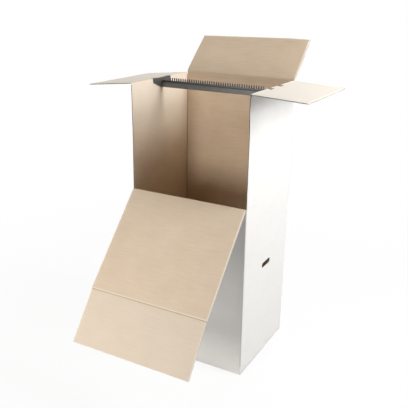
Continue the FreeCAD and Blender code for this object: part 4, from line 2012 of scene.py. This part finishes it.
@dataclass
class HangerRail:
    """The plastic rail: a channel with a toothed web, hooked over both side walls.

    Attributes:
        end_x, depth, bottom, top, wall: the channel's ends, depth, lower and upper levels and thickness.
        tooth, taper: width of a tooth at its foot, and of its tip as a share of that.
        plate, plate_half, plate_shoulder: the end plates' thickness, half width and height of the wide part.
        prong_inside, prong_low: where a prong's outer leg starts, and height of its lower end.
        sunk: how far a form starts inside the one that carries it.
        soft, lip, brow, hollow: radii of small edges, and of the channel's lower, upper and inner ones.
        plate_rounds, prong_rounds: radii of the corners of an end plate, from below, and of a prong.
        spigot, spigot_play: length of the plug in the channel, and its room beside and below.
        tick, tick_drop: half sizes of a tick, and way from the channel's upper face down to its middle.
        bead_inset, bead: from the plate's outline to its rim, and the rim's half width and height.
        rib_foot, rib_head: from the channel's lower corner and the plate's upper one to a rib's ends.
        rib: half width and height of a rib.
    """

    dresser: Dresser
    end_x: float = 0.2912
    depth: float = 0.024
    bottom: float = 1.3037
    top: float = 1.3267
    wall: float = 0.0025
    web: float = 0.005
    tooth_base: float = 1.3357
    tooth_top: float = 1.3497
    tooth: float = 0.006
    taper: float = 0.72
    pitch: float = 0.012
    teeth: int = 42
    plate: float = 0.003
    plate_half: float = 0.075
    plate_shoulder: float = 1.3277
    face_x: float = 0.2945
    prong_width: float = 0.04
    prong_spacing: float = 0.11
    prong_thickness: float = 0.005
    prong_inside: float = 0.3003
    prong_low: float = 1.3257
    spigot: float = 0.028
    sunk: float = 0.0005
    soft: float = 0.0005
    lip: float = 0.0006
    brow: float = 0.0018
    hollow: float = 0.0008
    tooth_foot: float = 0.0002
    tooth_edge: float = 0.0007
    plate_rounds: Triple = (0.003, 0.004, 0.0015)
    prong_rounds: tuple[float, ...] = (0.0003, 0.0012, 0.001, 0.0018, 0.0022, 0.0003)
    prong_edge: float = 0.0009
    spigot_play: Pair = (0.0003, 0.0004)
    spigot_round: float = 0.001
    tick: Triple = (0.0009, 0.0035, 0.0006)
    tick_drop: float = 0.0062
    tick_edge: float = 0.0004
    bead_inset: float = 0.0022
    bead: Pair = (0.0013, 0.0012)
    bead_round: float = 0.0025
    bead_corners: int = 10
    rib_foot: Pair = (0.001, 0.008)
    rib_head: Pair = (0.006, 0.010)
    rib: Pair = (0.0011, 0.0016)
    rib_round: float = 0.0008

    def build(self) -> None:
        """Builds and dresses the rail."""
        self.dresser.rail_piece("rail_channel", self._channel(), "rail_beam", self.dresser.plastic)
        self.dresser.rail_piece("rail_comb", self._comb(), "hanger_teeth", self.dresser.comb)
        for side in Side:
            name = side.word + "_rail_hook"
            self.dresser.rail_piece(name + "_moulding", self._hook(side), name, self.dresser.plastic)

    def _channel(self) -> Skin:
        """The channel, one rounded outline carried along X, with moulded ticks on both faces.

        Returns:
            Its skin.
        """
        y, w = self.depth / 2, self.wall
        half = [(y, self.bottom), (y, self.top)]
        inner = [(y - w, self.top - w), (y - w, self.bottom)]
        others = [(-a, b) for a, b in half[::-1] + inner[::-1]]
        corners = np.array([*half, *others, *inner])
        lip, brow, hollow = self.lip, self.brow, self.hollow
        radii = [lip, brow, brow, lip, lip, hollow, hollow, lip]
        rings = rounded_slab(filleted(corners, np.array(radii)), -self.end_x, self.end_x, self.soft)
        return joined([carried(rings[..., ALONG_X]), self._ticks(-1), self._ticks(1)])

    def _ticks(self, face: int) -> Skin:
        """A row of small upright ribs near the upper edge of one face, one at each tooth.

        Args:
            face: sign of Y of the face.

        Returns:
            The ribs, each a rounded slab.
        """
        wide, high, deep = self.tick
        outline = filleted(framed(wide, -high, high), self.soft, 2)
        rings = rounded_slab(outline, -deep, deep, self.tick_edge, 2)
        x, z, y = np.moveaxis(rings, -1, 0)
        return self._row(np.stack([x, face * (self.depth / 2 + y), z + self.top - self.tick_drop], axis=-1))

    def _row(self, rings: Array) -> Skin:
        """Repeats one shape along X at every tooth.

        Args:
            rings: of the shape, as (ring, corner, 3).

        Returns:
            The skin of the whole row.
        """
        one = carried(rings)
        shift = (np.arange(self.teeth) - (self.teeth - 1) / 2) * self.pitch
        return joined([Skin.plain(one.points + [x, 0.0, 0.0], one.quads, one.caps) for x in shift])

    def _comb(self) -> Skin:
        """The web, a rounded bar, and its teeth, one tapered outline with a round crown repeated along it.

        Returns:
            Their skin.
        """
        half, tip, deep = self.tooth / 2, self.tooth / 2 * self.taper, self.web / 2
        low, high = self.tooth_base - self.sunk, self.tooth_top
        corners = np.array([(-half, low), (half, low), (tip, high), (-tip, high)])
        foot, crown = self.tooth_foot, self.brow
        outline = filleted(corners, np.array([foot, foot, crown, crown]), steps=5)
        teeth = rounded_slab(outline, -deep, deep, self.tooth_edge)
        bar = filleted(framed(deep, self.top - self.lip, self.tooth_base), self.lip)
        web = rounded_slab(bar, -self.end_x, self.end_x, self.soft)
        return joined([carried(web[..., ALONG_X]), self._row(teeth[..., ALONG_Y])])

    def _hook(self, side: Side) -> Skin:
        """An end plate with two prongs over the wall, a raised rim, two ribs and the plug in the channel.

        Args:
            side: which end of the rail.

        Returns:
            The hook's skin.
        """
        inside = self.face_x - self.plate
        start = inside + self.sunk
        parts = self._plate(inside)
        low, high = self.prong_inside, self.prong_inside + self.prong_thickness
        top, under = self.tooth_top, self.tooth_top - self.prong_thickness
        leg = [(low, under), (low, self.prong_low), (high, self.prong_low), (high, top)]
        strap = filleted(np.array([(start, under), *leg, (start, top)]), np.array(self.prong_rounds))
        for sign in (-1, 1):
            middle, wide = sign * self.prong_spacing / 2, self.prong_width / 2
            rings = rounded_slab(strap, middle - wide, middle + wide, self.prong_edge)
            parts += [carried(rings[..., ALONG_Y]), self._rib(sign, inside)]
        beside, below = self.spigot_play
        box = framed(self.depth / 2 - self.wall - beside, self.bottom + below, self.top - self.wall)
        plug = rounded_slab(filleted(box, self.spigot_round), inside - self.spigot, start, self.spigot_round)
        skin = joined([*parts, carried(plug[..., ALONG_X])])
        if side is Side.LEFT:
            skin.points = skin.points * np.array([-1.0, 1.0, 1.0])
            skin.quads = skin.quads[:, ::-1]
            skin.caps = [cap[::-1] for cap in skin.caps]
        return skin

    def _plate(self, level: float) -> list[Skin]:
        """The end plate, and a half round bead carried round its face.

        The bead's profile stands square to its path: along the side normals for its width and along X for its
        height.

        Args:
            level: X of the plate's face.

        Returns:
            The skins of both.
        """
        wide, narrow, shoulder = self.plate_half, self.depth / 2, self.plate_shoulder
        foot, bend, head = self.plate_rounds
        corners = np.array([
            (-narrow, self.bottom), (narrow, self.bottom), (wide, shoulder),
            (wide, self.tooth_top), (-wide, self.tooth_top), (-wide, shoulder),
        ])
        outline = filleted(corners, np.array([foot, foot, bend, head, head, bend]))
        plate = carried(rounded_slab(outline, level, self.face_x, self.lip)[..., ALONG_X])
        path = filleted(inset(corners, np.array([self.bead_inset]))[0], self.bead_round)
        angle = np.linspace(0, 2 * math.pi, self.bead_corners, endpoint=False)
        moved = inset(path, self.bead[0] * np.cos(angle))
        height = np.broadcast_to((level - self.bead[1] * np.sin(angle))[:, None, None], (*moved.shape[:2], 1))
        rings = np.concatenate([height, moved], axis=2)
        loop = rings.transpose(1, 0, 2)
        return [plate, welded(carried(np.concatenate([loop, loop[:1]]), shut=False))]

    def _rib(self, sign: int, level: float) -> Skin:
        """A slanting rib on the plate's face, from the channel up to the outer corner.

        Args:
            sign: of Y of the rib.
            level: X of the plate's face.

        Returns:
            The rib's skin.
        """
        first = np.array([self.depth / 2 + self.rib_foot[0], self.bottom + self.rib_foot[1]])
        second = np.array([self.plate_half - self.rib_head[0], self.tooth_top - self.rib_head[1]])
        way = (second - first) / np.linalg.norm(second - first)
        wide, high = self.rib
        off = np.array([-way[1], way[0]]) * wide
        corners = np.array([first - off, second - off, second + off, first + off]) * np.array([sign, 1.0])
        outline = filleted(corners if sign > 0 else corners[::-1], self.rib_round, 2)
        return carried(rounded_slab(outline, level - high, level + self.lip, self.lip, 2)[..., ALONG_X])


@dataclass(frozen=True)
class Lamp:
    """A soft box that points at the box's upright middle line.

    Attributes:
        azimuth, elevation: degrees from the right of the box towards its back, and over level.
        distance, level: way to the point that it lights, and that point's height.
        power: in watts.
    """

    name: str
    azimuth: float
    elevation: float
    distance: float
    level: float
    size: Pair
    power: float
    colour: Colour = WHITE_LIGHT

    def build(self) -> None:
        """Puts the lamp into the scene."""
        data = bpy.data.lights.new(self.name, "AREA")
        data.shape = "RECTANGLE"
        data.size, data.size_y = self.size
        data.energy = self.power
        data.color = self.colour
        lamp = bpy.data.objects.new(self.name, data)
        around, over = math.radians(self.azimuth), math.radians(self.elevation)
        level = math.cos(over)
        way = Vector((level * math.cos(around), level * math.sin(around), math.sin(over)))
        lamp.location = way * self.distance + Vector((0.0, 0.0, self.level))
        lamp.rotation_euler = (-way).to_track_quat("-Z", "Y").to_euler()
        bpy.context.scene.collection.objects.link(lamp)


@dataclass
class Studio:
    """Floor, soft light and camera.

    Attributes:
        floor_white: share of plain white that the camera sees in the floor beside the box.
        floor_near, floor_far: ways from the box where that share ends, and where all is plain white.
        eye, ahead, right: where the camera stands, and the ways ahead and to the right in its picture.
    """

    floor_half: float = 30.0
    floor_drop: float = 0.0004
    floor_paint: Colour = (0.9, 0.9, 0.9)
    floor_white: float = 0.86
    floor_near: float = 0.8
    floor_far: float = 2.6
    sky: float = 0.01
    eye: Triple = (1.32156, -2.52194, 1.74049)
    ahead: Triple = (-0.45096, 0.82928, -0.33005)
    right: Triple = (0.87600, 0.48210, 0.01439)
    lens: float = 53.31
    sensor: float = 36.0
    farthest: float = 200.0
    lamps: tuple[Lamp, ...] = (
        Lamp("key_low", 5.0, 14.0, 2.2, 1.1, (0.7, 0.45), 21.0),
        Lamp("key_middle", 5.0, 18.0, 4.0, 1.1, (1.27, 0.75), 20.0),
        Lamp("key_high", 5.0, 27.0, 4.0, 1.1, (1.27, 0.75), 48.5),
        Lamp("key_top", 5.0, 36.0, 2.2, 1.1, (0.7, 0.45), 8.5),
        Lamp("front_low", -98.0, 2.0, 3.0, 0.9, (0.7, 1.0), 35.5, WARM_LIGHT),
        Lamp("left_low", -150.0, -5.0, 3.0, 0.9, (0.7, 0.7), 17.0, WARM_LIGHT),
        Lamp("left_high", -120.0, 40.0, 3.0, 0.9, (0.7, 0.7), 8.0, WARM_LIGHT),
        Lamp("left_side", 180.0, 20.0, 3.0, 1.0, (1.2, 1.2), 33.0),
        Lamp("back_low", 90.0, 5.0, 3.0, 0.8, (1.2, 1.2), 24.0),
        Lamp("back_high", 90.0, 55.0, 3.0, 1.0, (1.2, 1.2), 30.5),
    )

    def build(self) -> None:
        """Sets up the whole studio."""
        bpy.context.scene.view_settings.view_transform = "Standard"
        self._floor()
        self._world()
        for lamp in self.lamps:
            lamp.build()
        self._camera()

    @staticmethod
    def _seen(g: Graph) -> Socket:
        """Finds the rays that see things as they are.

        Args:
            g: the graph to work in.

        Returns:
            1 for rays from the camera, and for rays that gloss or glass sends on, and else 0.
        """
        path = g.add("ShaderNodeLightPath")
        bright = g.calc("MAXIMUM", path.outputs["Is Camera Ray"], path.outputs["Is Glossy Ray"])
        return g.calc("MAXIMUM", bright, path.outputs["Is Transmission Ray"])

    @staticmethod
    def _light(g: Graph, kind: str, strength: float) -> Socket:
        """A plain white light, as a shader."""
        return g.add("ShaderNode" + kind, {"Color": (*WHITE_LIGHT, 1.0), "Strength": strength}).outputs[0]

    def _floor(self) -> None:
        """A plain white floor that keeps a pale shadow."""
        edge = framed(self.floor_half, -self.floor_half, self.floor_half)
        points = np.column_stack([edge, np.full(4, -self.floor_drop)])
        mesh = bpy.data.meshes.new("floor")
        mesh.from_pydata(points.tolist(), [], [[0, 1, 2, 3]])
        material, g = new_material("studio_floor")
        paint = g.add("ShaderNodeBsdfDiffuse", {"Color": (*self.floor_paint, 1.0)}).outputs[0]
        glow = self._light(g, "Emission", 1.0)
        where = g.add("ShaderNodeTexCoord").outputs["Object"]
        away = g.add("ShaderNodeVectorMath", {0: where}, operation="LENGTH").outputs["Value"]
        white = g.ramp(away, self.floor_near, self.floor_far, (self.floor_white, 1.0))
        g.close("MixShader", {0: g.calc("MULTIPLY", self._seen(g), white), 1: paint, 2: glow})
        mesh.materials.append(material)
        floor = bpy.data.objects.new("floor", mesh)
        bpy.context.scene.collection.objects.link(floor)

    def _world(self) -> None:
        """Even white light from all round, which the camera sees as plain white."""
        world = bpy.data.worlds.new("studio")
        bpy.context.scene.world = world
        world.use_nodes = True
        g = Graph(world.node_tree)
        light, white = self._light(g, "Background", self.sky), self._light(g, "Background", 1.0)
        g.close("MixShader", {0: self._seen(g), 1: light, 2: white}, "World")

    def _camera(self) -> None:
        """The camera, at the photograph's angle."""
        data = bpy.data.cameras.new("camera")
        data.sensor_width = self.sensor
        data.lens = self.lens
        data.clip_end = self.farthest
        camera = bpy.data.objects.new("camera", data)
        ahead = Vector(self.ahead).normalized()
        right = Vector(self.right).normalized()
        up = right.cross(ahead)
        turn = Matrix((right, up, -ahead)).transposed().to_4x4()
        camera.matrix_world = Matrix.Translation(self.eye) @ turn
        bpy.context.scene.collection.objects.link(camera)
        bpy.context.scene.camera = camera


def main() -> None:
    """Builds the box, the rail and the studio in order."""
    logging.basicConfig(level=logging.INFO, format="%(name)s %(message)s")
    dresser = Dresser(SIZES.stock.pitch)
    Carton(dresser).build()
    HangerRail(dresser).build()
    Studio().build()


if __name__ == "__main__":
    main()
